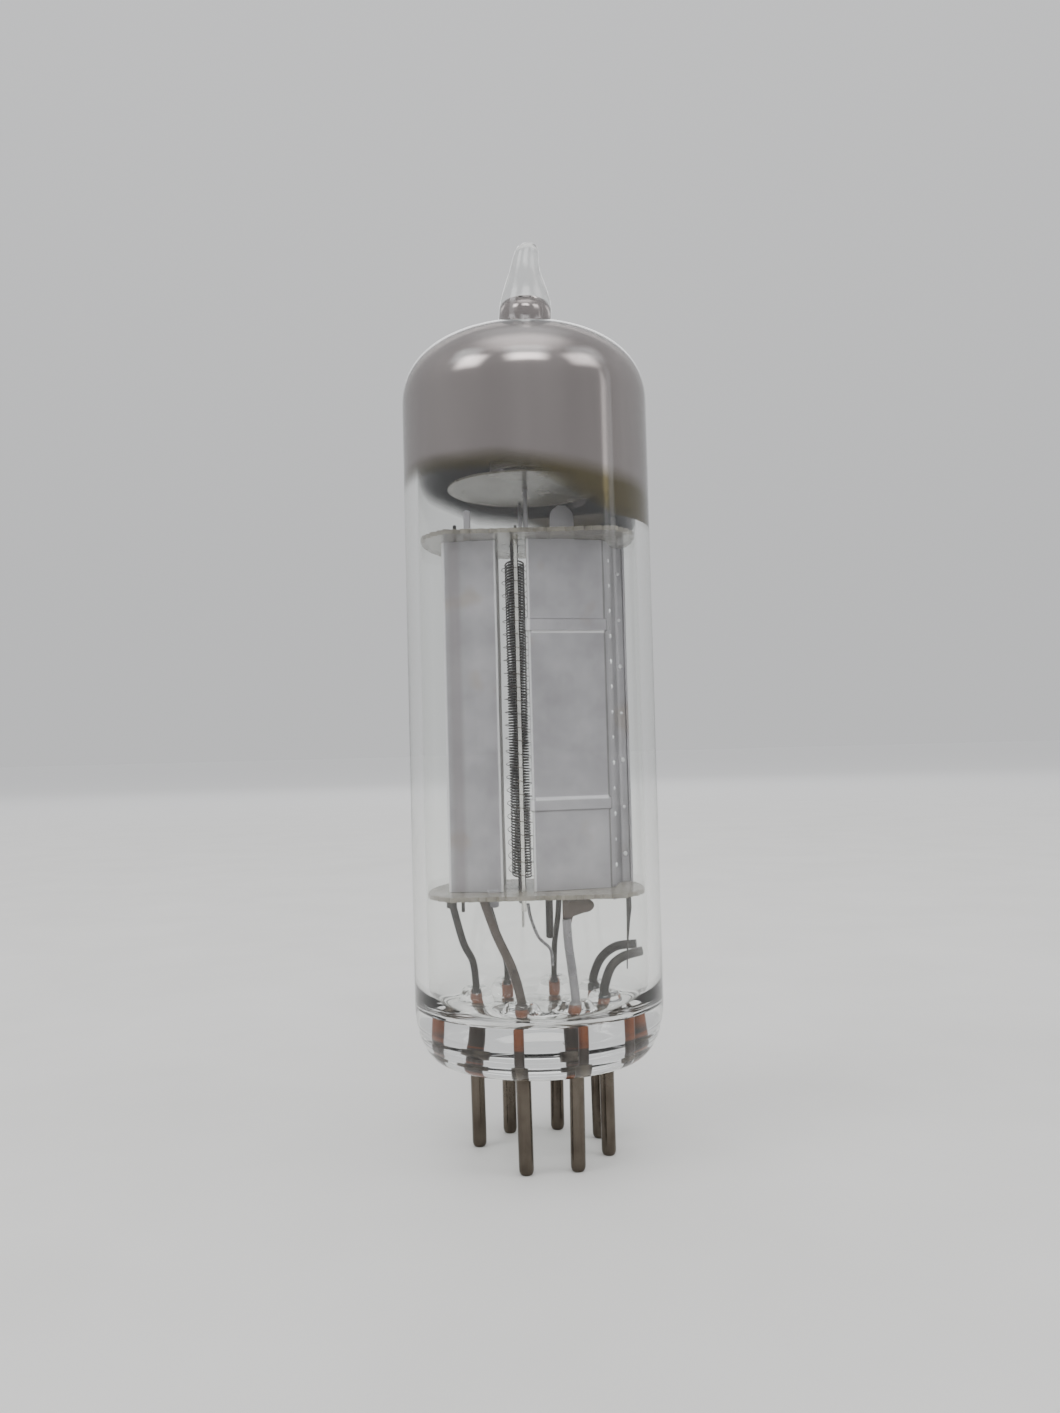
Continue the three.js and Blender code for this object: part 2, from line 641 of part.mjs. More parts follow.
// Everything that passes through a mica has its own close hole in it.
function micaGeometry(bottom) {
  const below = bottom - 1;
  const above = bottom + MICA_THICKNESS + 1;
  const holes = [];
  grids.forEach(({ rodX, rodY, rodRadius }) => {
    holes.push(rod(CAGE_AXIS_X + rodX, rodY, below, above, rodRadius + HOLE_GAP));
    holes.push(rod(CAGE_AXIS_X - rodX, -rodY, below, above, rodRadius + HOLE_GAP));
  });
  frameRods.forEach(({ x, y, radius }) => holes.push(rod(x, y, below, above, radius + HOLE_GAP)));
  const cathodeHole = ellipse(
    CAGE_AXIS_X,
    0,
    CATHODE_HALF_WIDTH + HOLE_GAP,
    CATHODE_HALF_DEPTH + HOLE_GAP,
  );
  holes.push(upright(cathodeHole, below, above));
  anodeSheets.forEach((sheet) => earPlans(sheet, sheet.ears).forEach((ear) => {
    const passes = ear.bottom < bottom && ear.top > bottom;
    if (!passes) return;
    holes.push(upright(stretchPlan(ear.start, ear.end, ear.thickness, HOLE_GAP), below, above));
  }));
  return cut(upright(toothedDisc(), bottom, bottom + MICA_THICKNESS), holes);
}

addPiece('mica_lower', micaGeometry(LOWER_MICA_Z), MICA);
addPiece('mica_upper', micaGeometry(UPPER_MICA_Z), MICA);

export default tube;
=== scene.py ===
# %% [markdown]
# # A seven-pin miniature vacuum tube
# The finished part is a glass bulb with an electrode cage inside it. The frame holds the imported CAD
# model, and this lesson builds the fine surface of each piece around it, in the same places. Blender
# counts in metres, so lengths here are written in millimetres and multiplied by MM when a mesh is made.

# %% Load the frame
import math

import bmesh
import bpy
from mathutils import Matrix, Vector, noise


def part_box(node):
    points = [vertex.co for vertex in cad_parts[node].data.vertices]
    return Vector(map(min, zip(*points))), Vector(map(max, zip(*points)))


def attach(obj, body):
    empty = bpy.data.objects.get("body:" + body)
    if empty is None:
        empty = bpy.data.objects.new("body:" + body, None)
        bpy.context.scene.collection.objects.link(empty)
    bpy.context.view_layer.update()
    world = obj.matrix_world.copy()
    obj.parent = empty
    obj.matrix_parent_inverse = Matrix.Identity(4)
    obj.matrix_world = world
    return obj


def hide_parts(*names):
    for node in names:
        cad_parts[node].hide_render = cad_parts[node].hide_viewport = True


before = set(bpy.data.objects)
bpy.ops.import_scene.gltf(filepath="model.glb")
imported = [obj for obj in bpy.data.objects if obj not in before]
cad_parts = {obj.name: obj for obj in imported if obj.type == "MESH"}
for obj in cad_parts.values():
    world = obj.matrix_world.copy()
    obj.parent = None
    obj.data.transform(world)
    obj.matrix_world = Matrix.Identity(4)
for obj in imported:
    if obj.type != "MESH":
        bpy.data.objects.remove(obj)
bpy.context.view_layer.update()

MM = 0.001


# %% [markdown]
# ## Sizes from the frame
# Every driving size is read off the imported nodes, so a change in the CAD model moves the looks with it.
# `span` gives a node's lowest and highest corner in millimetres.

# %% Read the driving sizes
def span(node):
    low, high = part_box(node)
    return Vector(low) / MM, Vector(high) / MM


bulb_low, bulb_high = span("glass_bulb")
BULB_RADIUS = bulb_high.x
BULB_WALL = 0.95
BORE_RADIUS = BULB_RADIUS - BULB_WALL
TIP_TOP = span("exhaust_tip")[1].z
CROWN = span("exhaust_tip")[0].z + BULB_WALL
DOME_HEIGHT = 5.5
SHOULDER = CROWN - DOME_HEIGHT
PIN_END = span("pin_1")[0].z
PIN_TOP = span("pin_1")[1].z
PIN_RADIUS = (span("pin_1")[1].x - span("pin_1")[0].x) / 2
LOWER_MICA = span("mica_lower")[0].z
UPPER_MICA = span("mica_upper")[0].z
MICA_THICKNESS = span("mica_lower")[1].z - LOWER_MICA
MICA_GAP = 0.03
CAGE_BOTTOM = LOWER_MICA + MICA_THICKNESS + MICA_GAP
CAGE_TOP = UPPER_MICA - MICA_GAP
print("bulb radius", round(BULB_RADIUS, 2), "crown", round(CROWN, 2))
print("cage", round(CAGE_BOTTOM, 2), "to", round(CAGE_TOP, 2))


# %% Find the pins
def centre_of(node):
    low, high = span(node)
    return (low + high) / 2


pin_places = [centre_of(f"pin_{number}").xy for number in range(1, 8)]
print("pins at", [tuple(round(value, 2) for value in place) for place in pin_places])


# %% [markdown]
# ## The camera, the floor and the light
# The camera stands a little below the middle of the tube, on the side of the narrow slot, tipped up and
# rolled by a degree or two. The floor is one pale sheet that runs out to the horizon. The sky over it is
# nearly as bright there as the floor is, so only a faint edge shows. The wide soft lights hang high, so
# that upright metal and glass don't mirror them, and only the shoulder of the dome does. One narrow light
# stands low on the right, where it draws a thin upright line on the glass.

# %% Set the camera
CAMERA_DISTANCE = 82.6
CAMERA_HEIGHT = 21.55
CAMERA_SIDEWAYS = -0.12
CAMERA_LENS = 29.2
SENSOR_WIDTH = 36
PITCH_UP = math.radians(2.29)
ROLL = math.radians(-1.47)

camera_data = bpy.data.cameras.new("camera")
camera_data.lens = CAMERA_LENS
camera_data.sensor_width = SENSOR_WIDTH
camera_data.clip_start = 0.005
camera_data.clip_end = 60
camera = bpy.data.objects.new("camera", camera_data)
bpy.context.scene.collection.objects.link(camera)
tilt = Matrix.Rotation(math.pi / 2 + PITCH_UP, 4, "X") @ Matrix.Rotation(ROLL, 4, "Z")
stand = Vector((CAMERA_SIDEWAYS, -CAMERA_DISTANCE, CAMERA_HEIGHT)) * MM
camera.matrix_world = Matrix.Translation(stand) @ tilt
bpy.context.scene.camera = camera
print("camera at", tuple(round(value, 4) for value in camera.location))


# %% A helper that makes an object from points and faces
SHARP_ANGLE = 48
MERGE_DISTANCE = 0.0005


def mesh_object(name, points, faces, smooth=True):
    mesh = bpy.data.meshes.new(name)
    mesh.from_pydata([Vector(point) * MM for point in points], [], faces)
    mesh.polygons.foreach_set("use_smooth", [smooth] * len(mesh.polygons))
    mesh.validate()
    piece = bpy.data.objects.new(name, mesh)
    bpy.context.scene.collection.objects.link(piece)
    return piece


def clean(piece):
    work = bmesh.new()
    work.from_mesh(piece.data)
    bmesh.ops.remove_doubles(work, verts=work.verts, dist=MERGE_DISTANCE * MM)
    bmesh.ops.dissolve_degenerate(work, edges=work.edges, dist=MERGE_DISTANCE * MM / 10)
    bmesh.ops.recalc_face_normals(work, faces=work.faces)
    work.to_mesh(piece.data)
    work.free()
    piece.data.set_sharp_from_angle(angle=math.radians(SHARP_ANGLE))
    return piece


# %% A helper that turns a profile round the axis
# A profile point is (radius, height) or (radius, height, lean), where lean moves its ring along +X.
def turned(name, profile, segments=96, centre=(0, 0), closed=False):
    points = []
    for radius, height, *lean in profile:
        for step in range(segments):
            angle = 2 * math.pi * step / segments
            x = centre[0] + radius * math.cos(angle) + (lean[0] if lean else 0)
            points.append((x, centre[1] + radius * math.sin(angle), height))
    faces = []
    rings = len(profile)
    for ring in range(rings if closed else rings - 1):
        low = ring * segments
        high = (ring + 1) % rings * segments
        for step in range(segments):
            after = (step + 1) % segments
            faces.append((low + step, low + after, high + after, high + step))
    return clean(mesh_object(name, points, faces))


# %% Make the floor
FLOOR = PIN_END
FLOOR_RADII = (100, 400, 1600, 6000, 25000)

floor = turned("studio_floor", [(0.001, FLOOR), *[(radius, FLOOR) for radius in FLOOR_RADII]])
floor.data.flip_normals()
print("floor at", round(FLOOR, 2), "mm, facing", [round(v, 1) for v in floor.data.polygons[0].normal])


# %% [markdown]
# ## Finishes
# Each finish is a small node tree on the object's own coordinates, which are metres here. A noise of
# scale 1000 therefore has features about a millimetre across. The helpers below keep each tree short.

# %% Helpers for node trees
class Finish:
    """One material and its node tree, with short calls for the nodes used again and again."""

    def __init__(self, name):
        self.material = bpy.data.materials.new(name)
        self.material.use_nodes = True
        self.tree = self.material.node_tree
        self.shader = self.tree.nodes["Principled BSDF"]
        self.output = self.tree.nodes["Material Output"]
        self.place = self.node("ShaderNodeTexCoord").outputs["Object"]

    def node(self, kind, **settings):
        made = self.tree.nodes.new(kind)
        for key, value in settings.items():
            setattr(made, key, value)
        return made

    def link(self, source, target):
        self.tree.links.new(source, target)

    def stretched(self, scale):
        mapping = self.node("ShaderNodeMapping")
        mapping.inputs["Scale"].default_value = scale
        self.link(self.place, mapping.inputs["Vector"])
        return mapping.outputs["Vector"]

    def noise(self, scale, detail=4, roughness=0.55, place=None):
        made = self.node("ShaderNodeTexNoise")
        made.inputs["Scale"].default_value = scale
        made.inputs["Detail"].default_value = detail
        made.inputs["Roughness"].default_value = roughness
        self.link(place or self.place, made.inputs["Vector"])
        return made.outputs["Fac"]

    def ramp(self, value, *stops):
        made = self.node("ShaderNodeValToRGB")
        elements = made.color_ramp.elements
        while len(elements) < len(stops):
            elements.new(0.5)
        for element, (position, colour) in zip(elements, stops):
            element.position = position
            element.color = (*colour, 1) if isinstance(colour, tuple) else (colour, colour, colour, 1)
        self.link(value, made.inputs["Fac"])
        return made.outputs["Color"]

    def mixed(self, factor, first, second):
        made = self.node("ShaderNodeMix", data_type="RGBA")
        for value, socket in ((factor, made.inputs[0]), (first, made.inputs[6]), (second, made.inputs[7])):
            if isinstance(value, bpy.types.NodeSocket):
                self.link(value, socket)
            else:
                socket.default_value = value if isinstance(value, float) else (*value, 1)
        return made.outputs[2]

    def maths(self, operation, first, second=0.0, clamp=False):
        made = self.node("ShaderNodeMath", operation=operation, use_clamp=clamp)
        for value, socket in ((first, made.inputs[0]), (second, made.inputs[1])):
            if isinstance(value, bpy.types.NodeSocket):
                self.link(value, socket)
            else:
                socket.default_value = value
        return made.outputs[0]

    def axes(self):
        split = self.node("ShaderNodeSeparateXYZ")
        self.link(self.place, split.inputs[0])
        return split.outputs

    def bump(self, height, depth, strength):
        made = self.node("ShaderNodeBump")
        made.inputs["Distance"].default_value = depth * MM
        made.inputs["Strength"].default_value = strength
        self.link(height, made.inputs["Height"])
        self.link(made.outputs["Normal"], self.shader.inputs["Normal"])


# %% The floor's finish: matt paper
# The far floor catches no lamp light, so its paper is paler and meets the sky at nearly its brightness.
FAR_FLOOR = 0.83
NEAR_REACH = 0.1
FAR_REACH = 1.0


def paper_finish():
    paper = Finish("studio_paper")
    grain = paper.noise(60, detail=3)
    near = paper.ramp(grain, (0.3, (0.67, 0.665, 0.65)), (0.7, (0.71, 0.705, 0.69)))
    reach = paper.node("ShaderNodeVectorMath", operation="LENGTH")
    paper.link(paper.place, reach.inputs[0])
    outward = paper.node("ShaderNodeMapRange", interpolation_type="SMOOTHERSTEP")
    outward.inputs["From Min"].default_value = NEAR_REACH
    outward.inputs["From Max"].default_value = FAR_REACH
    paper.link(reach.outputs["Value"], outward.inputs["Value"])
    far = (FAR_FLOOR, FAR_FLOOR, FAR_FLOOR)
    paper.link(paper.mixed(outward.outputs["Result"], near, far), paper.shader.inputs["Base Color"])
    paper.shader.inputs["Roughness"].default_value = 0.9
    return paper.material


floor.data.materials.append(paper_finish())


# %% A soft light whose edges fade out
# Azimuth 0 is on the camera's side of the tube, and positive angles go to its right.
FEATHER = 0.42
AIM_HEIGHT = 25


def feather(data):
    data.use_nodes = True
    nodes, links = data.node_tree.nodes, data.node_tree.links
    split = nodes.new("ShaderNodeSeparateXYZ")
    links.new(nodes.new("ShaderNodeNewGeometry").outputs["Parametric"], split.inputs[0])
    both = nodes.new("ShaderNodeMath")
    both.operation = "MULTIPLY"
    for index, axis in enumerate(("X", "Y")):
        from_middle = nodes.new("ShaderNodeMath")
        from_middle.operation = "PINGPONG"
        from_middle.inputs[1].default_value = 0.5
        links.new(split.outputs[axis], from_middle.inputs[0])
        fade = nodes.new("ShaderNodeMapRange")
        fade.interpolation_type = "SMOOTHERSTEP"
        fade.inputs["From Max"].default_value = FEATHER
        links.new(from_middle.outputs[0], fade.inputs["Value"])
        links.new(fade.outputs["Result"], both.inputs[index])
    links.new(both.outputs[0], nodes["Emission"].inputs["Strength"])


def soft_light(name, azimuth, distance, height, width, tall, watts):
    data = bpy.data.lights.new(name, "AREA")
    data.shape = "RECTANGLE"
    data.size = width * MM
    data.size_y = tall * MM
    data.energy = watts
    feather(data)
    light = bpy.data.objects.new(name, data)
    bpy.context.scene.collection.objects.link(light)
    angle = math.radians(azimuth)
    light.location = Vector((math.sin(angle) * distance, -math.cos(angle) * distance, height)) * MM
    aim = Vector((0, 0, AIM_HEIGHT * MM)) - light.location
    light.rotation_euler = aim.to_track_quat("-Z", "Y").to_euler()
    light.visible_camera = False


soft_light("front_window", 4, 520, 600, 640, 330, 4.5)
soft_light("left_window", -62, 560, 560, 500, 420, 4.0)
soft_light("right_window", 70, 580, 560, 620, 420, 3.0)
soft_light("right_strip", 84, 520, 60, 90, 700, 0.3)
soft_light("top_sheet", 0, 60, 760, 900, 900, 4.5)
soft_light("back_fill", 180, 800, 520, 900, 500, 3.0)


# %% The sky: bright overhead, and nearly as bright as the floor at the horizon
HORIZON = 0.70
ZENITH = 0.93

world = bpy.data.worlds.new("studio_world")
world.use_nodes = True
sky_nodes, sky_links = world.node_tree.nodes, world.node_tree.links
sky_split = sky_nodes.new("ShaderNodeSeparateXYZ")
sky_links.new(sky_nodes.new("ShaderNodeTexCoord").outputs["Generated"], sky_split.inputs[0])
sky_rise = sky_nodes.new("ShaderNodeMapRange")
sky_rise.interpolation_type = "SMOOTHSTEP"
sky_rise.inputs["To Min"].default_value = HORIZON
sky_rise.inputs["To Max"].default_value = ZENITH
sky_links.new(sky_split.outputs["Z"], sky_rise.inputs["Value"])
sky = sky_nodes["Background"]
sky.inputs["Color"].default_value = (0.98, 0.985, 1.0, 1)
sky_links.new(sky_rise.outputs["Result"], sky.inputs["Strength"])
bpy.context.scene.world = world


# %% [markdown]
# ## The metals
# The cage is plain nickel sheet. It is satin, with soft grey mottling, fine upright rolling marks and a
# few brownish spots where the vapour of the getter has touched it. Painted shade darkens it inside the
# slot and in an upright band on the left panel, and painted highlights brighten its bends and bead edges.
# The pins are the same metal, but handled and tarnished. The sealed wires are copper clad, which shows
# as a red glow in the base glass.

# %% Where the cage is darker or brighter than its plain sheet
# Each place is a box, given for each axis as its middle, its half size and the width of its soft edge.
# SLOT_INSIDE is where painted shade darkens the sheet inside the slot.
SLOT_INSIDE = {"X": (-1.15, 1.6, 0.25), "Y": (0, 2.8, 0.3)}
LEFT_SHADE = {"X": (-5.2, 0.6, 0.35), "Y": (-3, 1.4, 0.4)}
OUTER_SEAM = {"X": (5.3, 0.16, 0.08), "Y": (-1.66, 0.16, 0.08)}
WIDE_PANEL = {"X": (2.65, 2.6, 0.1), "Y": (-2.5, 0.95, 0.1)}
BENDS = ((-2.2, -2.8), (-6.0, -2.25), (-0.15, -3.05))
# Painted highlights: the bead edges and the bends are painted near white where light catches them.
PAINTED_HIGHLIGHTS = [
    {**WIDE_PANEL, "Z": (29.93, 0.13, 0.08)},
    {**WIDE_PANEL, "Z": (18.32, 0.16, 0.1)},
    *[{"X": (x, 0.22, 0.1), "Y": (y, 0.3, 0.12)} for x, y in BENDS],
]


def within(metal, box):
    """1 inside a box, falling to 0 over its soft edge."""
    axes = metal.axes()
    masks = []
    for axis, (middle, half, soft) in box.items():
        away = metal.maths("ABSOLUTE", metal.maths("SUBTRACT", axes[axis], middle * MM))
        inside = metal.maths("SUBTRACT", half * MM, away)
        masks.append(metal.maths("DIVIDE", inside, soft * MM, clamp=True))
    mask = masks[0]
    for other in masks[1:]:
        mask = metal.maths("MULTIPLY", mask, other)
    return mask


# %% Satin nickel for the cage
CAGE_GREYS = ((0.34, (0.30, 0.288, 0.308)), (0.5, (0.39, 0.377, 0.402)), (0.66, (0.48, 0.465, 0.49)))
GETTER_BROWN = (0.36, 0.29, 0.22)
# Painted shade: the near black of the slot's inside.
SLOT_PAINTED_SHADE = (0.075, 0.062, 0.045)
SHADE_GREY = (0.22, 0.195, 0.195)
SEAM_DARK = (0.10, 0.095, 0.09)
# The colour of the painted highlights on the bends and bead edges.
PAINTED_HIGHLIGHT_WHITE = (0.90, 0.89, 0.91)


def cage_finish():
    metal = Finish("cage_nickel")
    cloud = metal.noise(420, detail=5)
    rolling = metal.noise(2600, detail=3, place=metal.stretched((1, 1, 0.06)))
    broad = metal.noise(210, detail=2, place=metal.stretched((1, 1, 0.25)))
    spots = metal.ramp(metal.noise(360, detail=2, roughness=0.4), (0.64, 0.0), (0.74, 1.0))
    bright = within(metal, PAINTED_HIGHLIGHTS[0])
    for box in PAINTED_HIGHLIGHTS[1:]:
        bright = metal.maths("MAXIMUM", bright, within(metal, box))
    colour = metal.ramp(metal.mixed(0.45, cloud, broad), *CAGE_GREYS)
    layers = [
        (spots, 0.4, GETTER_BROWN),
        (within(metal, SLOT_INSIDE), 0.8, SLOT_PAINTED_SHADE),
        (within(metal, LEFT_SHADE), 0.5, SHADE_GREY),
        (within(metal, OUTER_SEAM), 0.8, SEAM_DARK),
        (bright, 0.85, PAINTED_HIGHLIGHT_WHITE),
    ]
    for mask, strength, layer in layers:
        colour = metal.mixed(metal.maths("MULTIPLY", mask, strength), colour, layer)
    metal.link(colour, metal.shader.inputs["Base Color"])
    metal.shader.inputs["Metallic"].default_value = 0.8
    metal.link(metal.ramp(rolling, (0.25, 0.32), (0.75, 0.5)), metal.shader.inputs["Roughness"])
    metal.bump(metal.mixed(0.5, rolling, cloud), 0.025, 0.55)
    return metal.material


CAGE_NICKEL = cage_finish()


# %% Bright, tarnished and dark wire
# The copper is bare only where the glass wets it; its foot, under that, is dark with oxide.
FOOT_LOW = 2.2
FOOT_HIGH = 2.5


def wire_finish(name, light, dark, rough, metallic, foot=None):
    metal = Finish(name)
    stain = metal.noise(500, detail=5)
    drawn = metal.noise(1800, detail=3, place=metal.stretched((1, 1, 0.12)))
    colour = metal.ramp(metal.mixed(0.4, stain, drawn), (0.32, dark), (0.68, light))
    if foot:
        above_foot = metal.node("ShaderNodeMapRange")
        above_foot.inputs["From Min"].default_value = FOOT_LOW * MM
        above_foot.inputs["From Max"].default_value = FOOT_HIGH * MM
        metal.link(metal.axes()["Z"], above_foot.inputs["Value"])
        colour = metal.mixed(above_foot.outputs["Result"], foot, colour)
    metal.link(colour, metal.shader.inputs["Base Color"])
    metal.link(metal.ramp(stain, (0.3, rough - 0.08), (0.7, rough + 0.1)), metal.shader.inputs["Roughness"])
    metal.shader.inputs["Metallic"].default_value = metallic
    metal.bump(drawn, 0.012, 0.5)
    return metal.material


# The weld dots' near-white colour is a painted glint on their rounded tops.
WELD_PAINTED_GLINT = wire_finish("weld_bright", (0.95, 0.95, 0.96), (0.84, 0.84, 0.86), 0.3, 0.35)
BRIGHT_WIRE = wire_finish("bright_wire", (0.84, 0.83, 0.79), (0.60, 0.59, 0.56), 0.22, 1.0)
PIN_NICKEL = wire_finish("pin_nickel", (0.15, 0.128, 0.104), (0.056, 0.045, 0.035), 0.21, 0.95)
LEAD_NICKEL = wire_finish("lead_nickel", (0.34, 0.33, 0.345), (0.18, 0.172, 0.178), 0.28, 0.95)
BROWN_LEAD = wire_finish("brown_lead", (0.12, 0.095, 0.08), (0.052, 0.039, 0.031), 0.28, 0.92)
GRID_WIRE = wire_finish("grid_wire", (0.15, 0.125, 0.10), (0.07, 0.056, 0.044), 0.35, 0.85)
DARK_WIRE = wire_finish("dark_wire", (0.042, 0.036, 0.029), (0.016, 0.014, 0.011), 0.36, 0.85)
COPPER_OXIDE = (0.045, 0.033, 0.026)
COPPER_LIGHT = (0.25, 0.078, 0.026)
COPPER_DARK = (0.105, 0.03, 0.012)
SEAL_COPPER = wire_finish("seal_copper", COPPER_LIGHT, COPPER_DARK, 0.34, 0.75, foot=COPPER_OXIDE)


# %% Oxide: the white coating of the cathode and the heater
def oxide_finish():
    oxide = Finish("oxide_white")
    grain = oxide.noise(6000, detail=4)
    white = oxide.ramp(grain, (0.3, (0.62, 0.60, 0.56)), (0.7, (0.80, 0.79, 0.76)))
    oxide.link(white, oxide.shader.inputs["Base Color"])
    oxide.shader.inputs["Roughness"].default_value = 0.92
    oxide.bump(grain, 0.02, 0.8)
    return oxide.material


OXIDE_WHITE = oxide_finish()


# %% [markdown]
# ## The glass finish
# A closed glass shell blocks lamps in a path tracer, because light that bends through it never finds a
# small lamp by chance. So shadow rays pass straight through, and every other ray is bent and mirrored as
# glass does. Seen along its surface, glass is a long way through, so it darkens a little at its edges.
# Blown glass is never quite even: a slow waviness in the bump makes its highlights wander.

# %% Clear blown glass
def glass_finish():
    glass = Finish("envelope_glass")
    facing = glass.node("ShaderNodeLayerWeight")
    facing.inputs["Blend"].default_value = 0.5
    tint = glass.ramp(facing.outputs["Facing"], (0.55, (0.975, 0.985, 0.975)), (0.97, (0.66, 0.69, 0.64)))
    glass.link(tint, glass.shader.inputs["Base Color"])
    glass.shader.inputs["Transmission Weight"].default_value = 1.0
    glass.shader.inputs["IOR"].default_value = 1.49
    smear = glass.noise(160, detail=3)
    glass.link(glass.ramp(smear, (0.45, 0.0), (0.85, 0.045)), glass.shader.inputs["Roughness"])
    drawn = glass.noise(140, detail=1, place=glass.stretched((1, 1, 0.35)))
    glass.bump(drawn, 0.06, 0.35)
    lamp_ray = glass.node("ShaderNodeLightPath").outputs["Is Shadow Ray"]
    clear = glass.node("ShaderNodeBsdfTransparent")
    clear.inputs["Color"].default_value = (0.93, 0.94, 0.93, 1)
    blend = glass.node("ShaderNodeMixShader")
    glass.link(lamp_ray, blend.inputs["Fac"])
    glass.link(glass.shader.outputs[0], blend.inputs[1])
    glass.link(clear.outputs[0], blend.inputs[2])
    glass.link(blend.outputs[0], glass.output.inputs["Surface"])
    return glass.material


ENVELOPE_GLASS = glass_finish()


# %% [markdown]
# ## Putting a piece in the model
# A finished piece takes its finish, rides on the only body and hides the CAD nodes that it stands for.
# The last number of a piece's line is its face count.

# %% Hand a piece over to the frame
made = []


def hand_over(piece, material, slot, *nodes):
    piece.data.materials.clear()
    piece.data.materials.append(material)
    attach(piece, "root")
    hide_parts(*nodes)
    made.append(piece)
    print(piece.name, "stands for", ", ".join(nodes), len(piece.data.polygons))
    return piece


# %% [markdown]
# ## The envelope
# The bulb, the base button and the exhaust tip are fused in a flame, so nothing shows between them: a
# boundary there would mirror light that the real glass lets through. They are one skin here, made of an
# outer and an inner surface of revolution. The dome is a superellipse, squarer at the shoulder than an
# ellipse. Above the base, the inner surface rises in a collar round each wire.

# %% The dome and the corners, as curves
DOME_POWER = 2.4
RIM_TOP = 4.0
BASE_UNDERSIDE = 0.15
BASE_TOP = 3.5


def dome(radius, height, opening, count):
    last = math.acos((opening / radius) ** (DOME_POWER / 2))
    angles = [last * step / count for step in range(count + 1)]
    return [
        (radius * math.cos(a) ** (2 / DOME_POWER), SHOULDER + height * math.sin(a) ** (2 / DOME_POWER))
        for a in angles
    ]


def quarter(centre, reach, turn_start, count):
    angles = [turn_start + math.pi / 2 * step / count for step in range(count + 1)]
    return [(centre[0] + reach[0] * math.cos(a), centre[1] + reach[1] * math.sin(a)) for a in angles]


def run(start, end, count):
    return [
        tuple(start[axis] + (end[axis] - start[axis]) * step / count for axis in range(len(start)))
        for step in range(1, count)
    ]


# %% The seam where the base was fused to the bulb
# The flame leaves two shallow grooves round the rim, which bend the light into thin curved lines.
SEAM_LEVELS = (1.25, 2.35)


def seam_depth(z):
    return sum(0.07 * math.exp(-((z - level) / 0.2) ** 2) for level in SEAM_LEVELS)


# %% The outer skin
# The tip's outline gives each ring's radius, its height over the crown and how far it leans.
RIM_CENTRE = 6.9
PAD_EDGE = 3.45
BULB_OPENING = 2.9
TIP_OUTLINE = [
    (2.45, -0.07, 0.05), (2.15, 0.1, 0.1), (2.0, 0.4, 0.16), (1.94, 1.0, 0.22), (1.91, 1.8, 0.27),
    (1.84, 2.4, 0.29), (1.67, 3.05, 0.3), (1.4, 3.9, 0.29), (1.14, 4.65, 0.3),
    (0.98, 5.4, 0.35), (0.91, 5.85, 0.42), (0.86, 6.2, 0.48), (0.72, 6.5, 0.54), (0.5, 6.68, 0.57),
]


def outer_profile():
    reach = (BULB_RADIUS - RIM_CENTRE, RIM_TOP - BASE_UNDERSIDE)
    rim = quarter((RIM_CENTRE, RIM_TOP), reach, -math.pi / 2, 40)
    rim = [(radius - seam_depth(z), z) for radius, z in rim]
    pad = [(0.0, 0.0), (1.5, 0.0), (3.15, 0.0), (3.3, 0.06), (PAD_EDGE, BASE_UNDERSIDE)]
    under = run((PAD_EDGE, BASE_UNDERSIDE), (RIM_CENTRE, BASE_UNDERSIDE), 22)
    wall = run((BULB_RADIUS, RIM_TOP), (BULB_RADIUS, SHOULDER), 12)
    top = dome(BULB_RADIUS, CROWN - SHOULDER, BULB_OPENING, 26)
    tip = [(radius, CROWN + rise, lean) for radius, rise, lean in TIP_OUTLINE]
    return [*pad, *under, *rim, *wall, *top, *tip, (0.27, TIP_TOP - 0.04, 0.59), (0.0, TIP_TOP, 0.6)]


# %% The inner skin, which reaches a little way into the foot of the tip
# The hollow's outline gives each ring's radius and its height over the crown.
TIP_LEAN = 0.26
HOLLOW_MOUTH = 1.6
HOLLOW_TOP = 2.5
HOLLOW_OUTLINE = [
    (1.42, -0.85), (1.33, -0.5), (1.3, 0), (1.3, 0.8), (1.3, 1.5),
    (1.22, 1.95), (1.02, 2.3), (0.6, 2.46), (0.2, HOLLOW_TOP - 0.01),
]
FLOOR_EDGE = 6.3
FILLET_TOP = 5.6


def smooth_step(value):
    value = min(max(value, 0.0), 1.0)
    return value * value * (3 - 2 * value)


def tip_hollow(inset, sink=0.0):
    rings = [(radius - inset, CROWN + rise) for radius, rise in HOLLOW_OUTLINE]
    return [(radius, z - sink, TIP_LEAN * smooth_step((z - CROWN + 1) / 2)) for radius, z in rings]


def inner_profile():
    reach = (BORE_RADIUS - FLOOR_EDGE, FILLET_TOP - BASE_TOP)
    fillet = quarter((FLOOR_EDGE, FILLET_TOP), reach, -math.pi / 2, 14)
    floor_run = run((0.0, BASE_TOP), (FLOOR_EDGE, BASE_TOP), 64)
    wall = run((BORE_RADIUS, FILLET_TOP), (BORE_RADIUS, SHOULDER), 10)
    top = dome(BORE_RADIUS, CROWN - SHOULDER - BULB_WALL, HOLLOW_MOUTH, 22)
    end = (0.0, CROWN + HOLLOW_TOP, TIP_LEAN)
    return [(0.0, BASE_TOP), *floor_run, *fillet, *wall, *top, *tip_hollow(0), end]


print("outer profile", len(outer_profile()), "rings; inner", len(inner_profile()), "rings")


# %% Collars round the wires
# A collar is a ring of glass that climbs the wire: a crest, and a small crater inside it. On the
# underside the glass dips a little round each pin.
COLLAR_HEIGHT = 1.2
CREST_RADIUS = 0.74
CREST_WIDTH = 0.58
CRATER_SHARE = 0.62
UNDER_DIP = 0.12
SKIN_SEGMENTS = 160


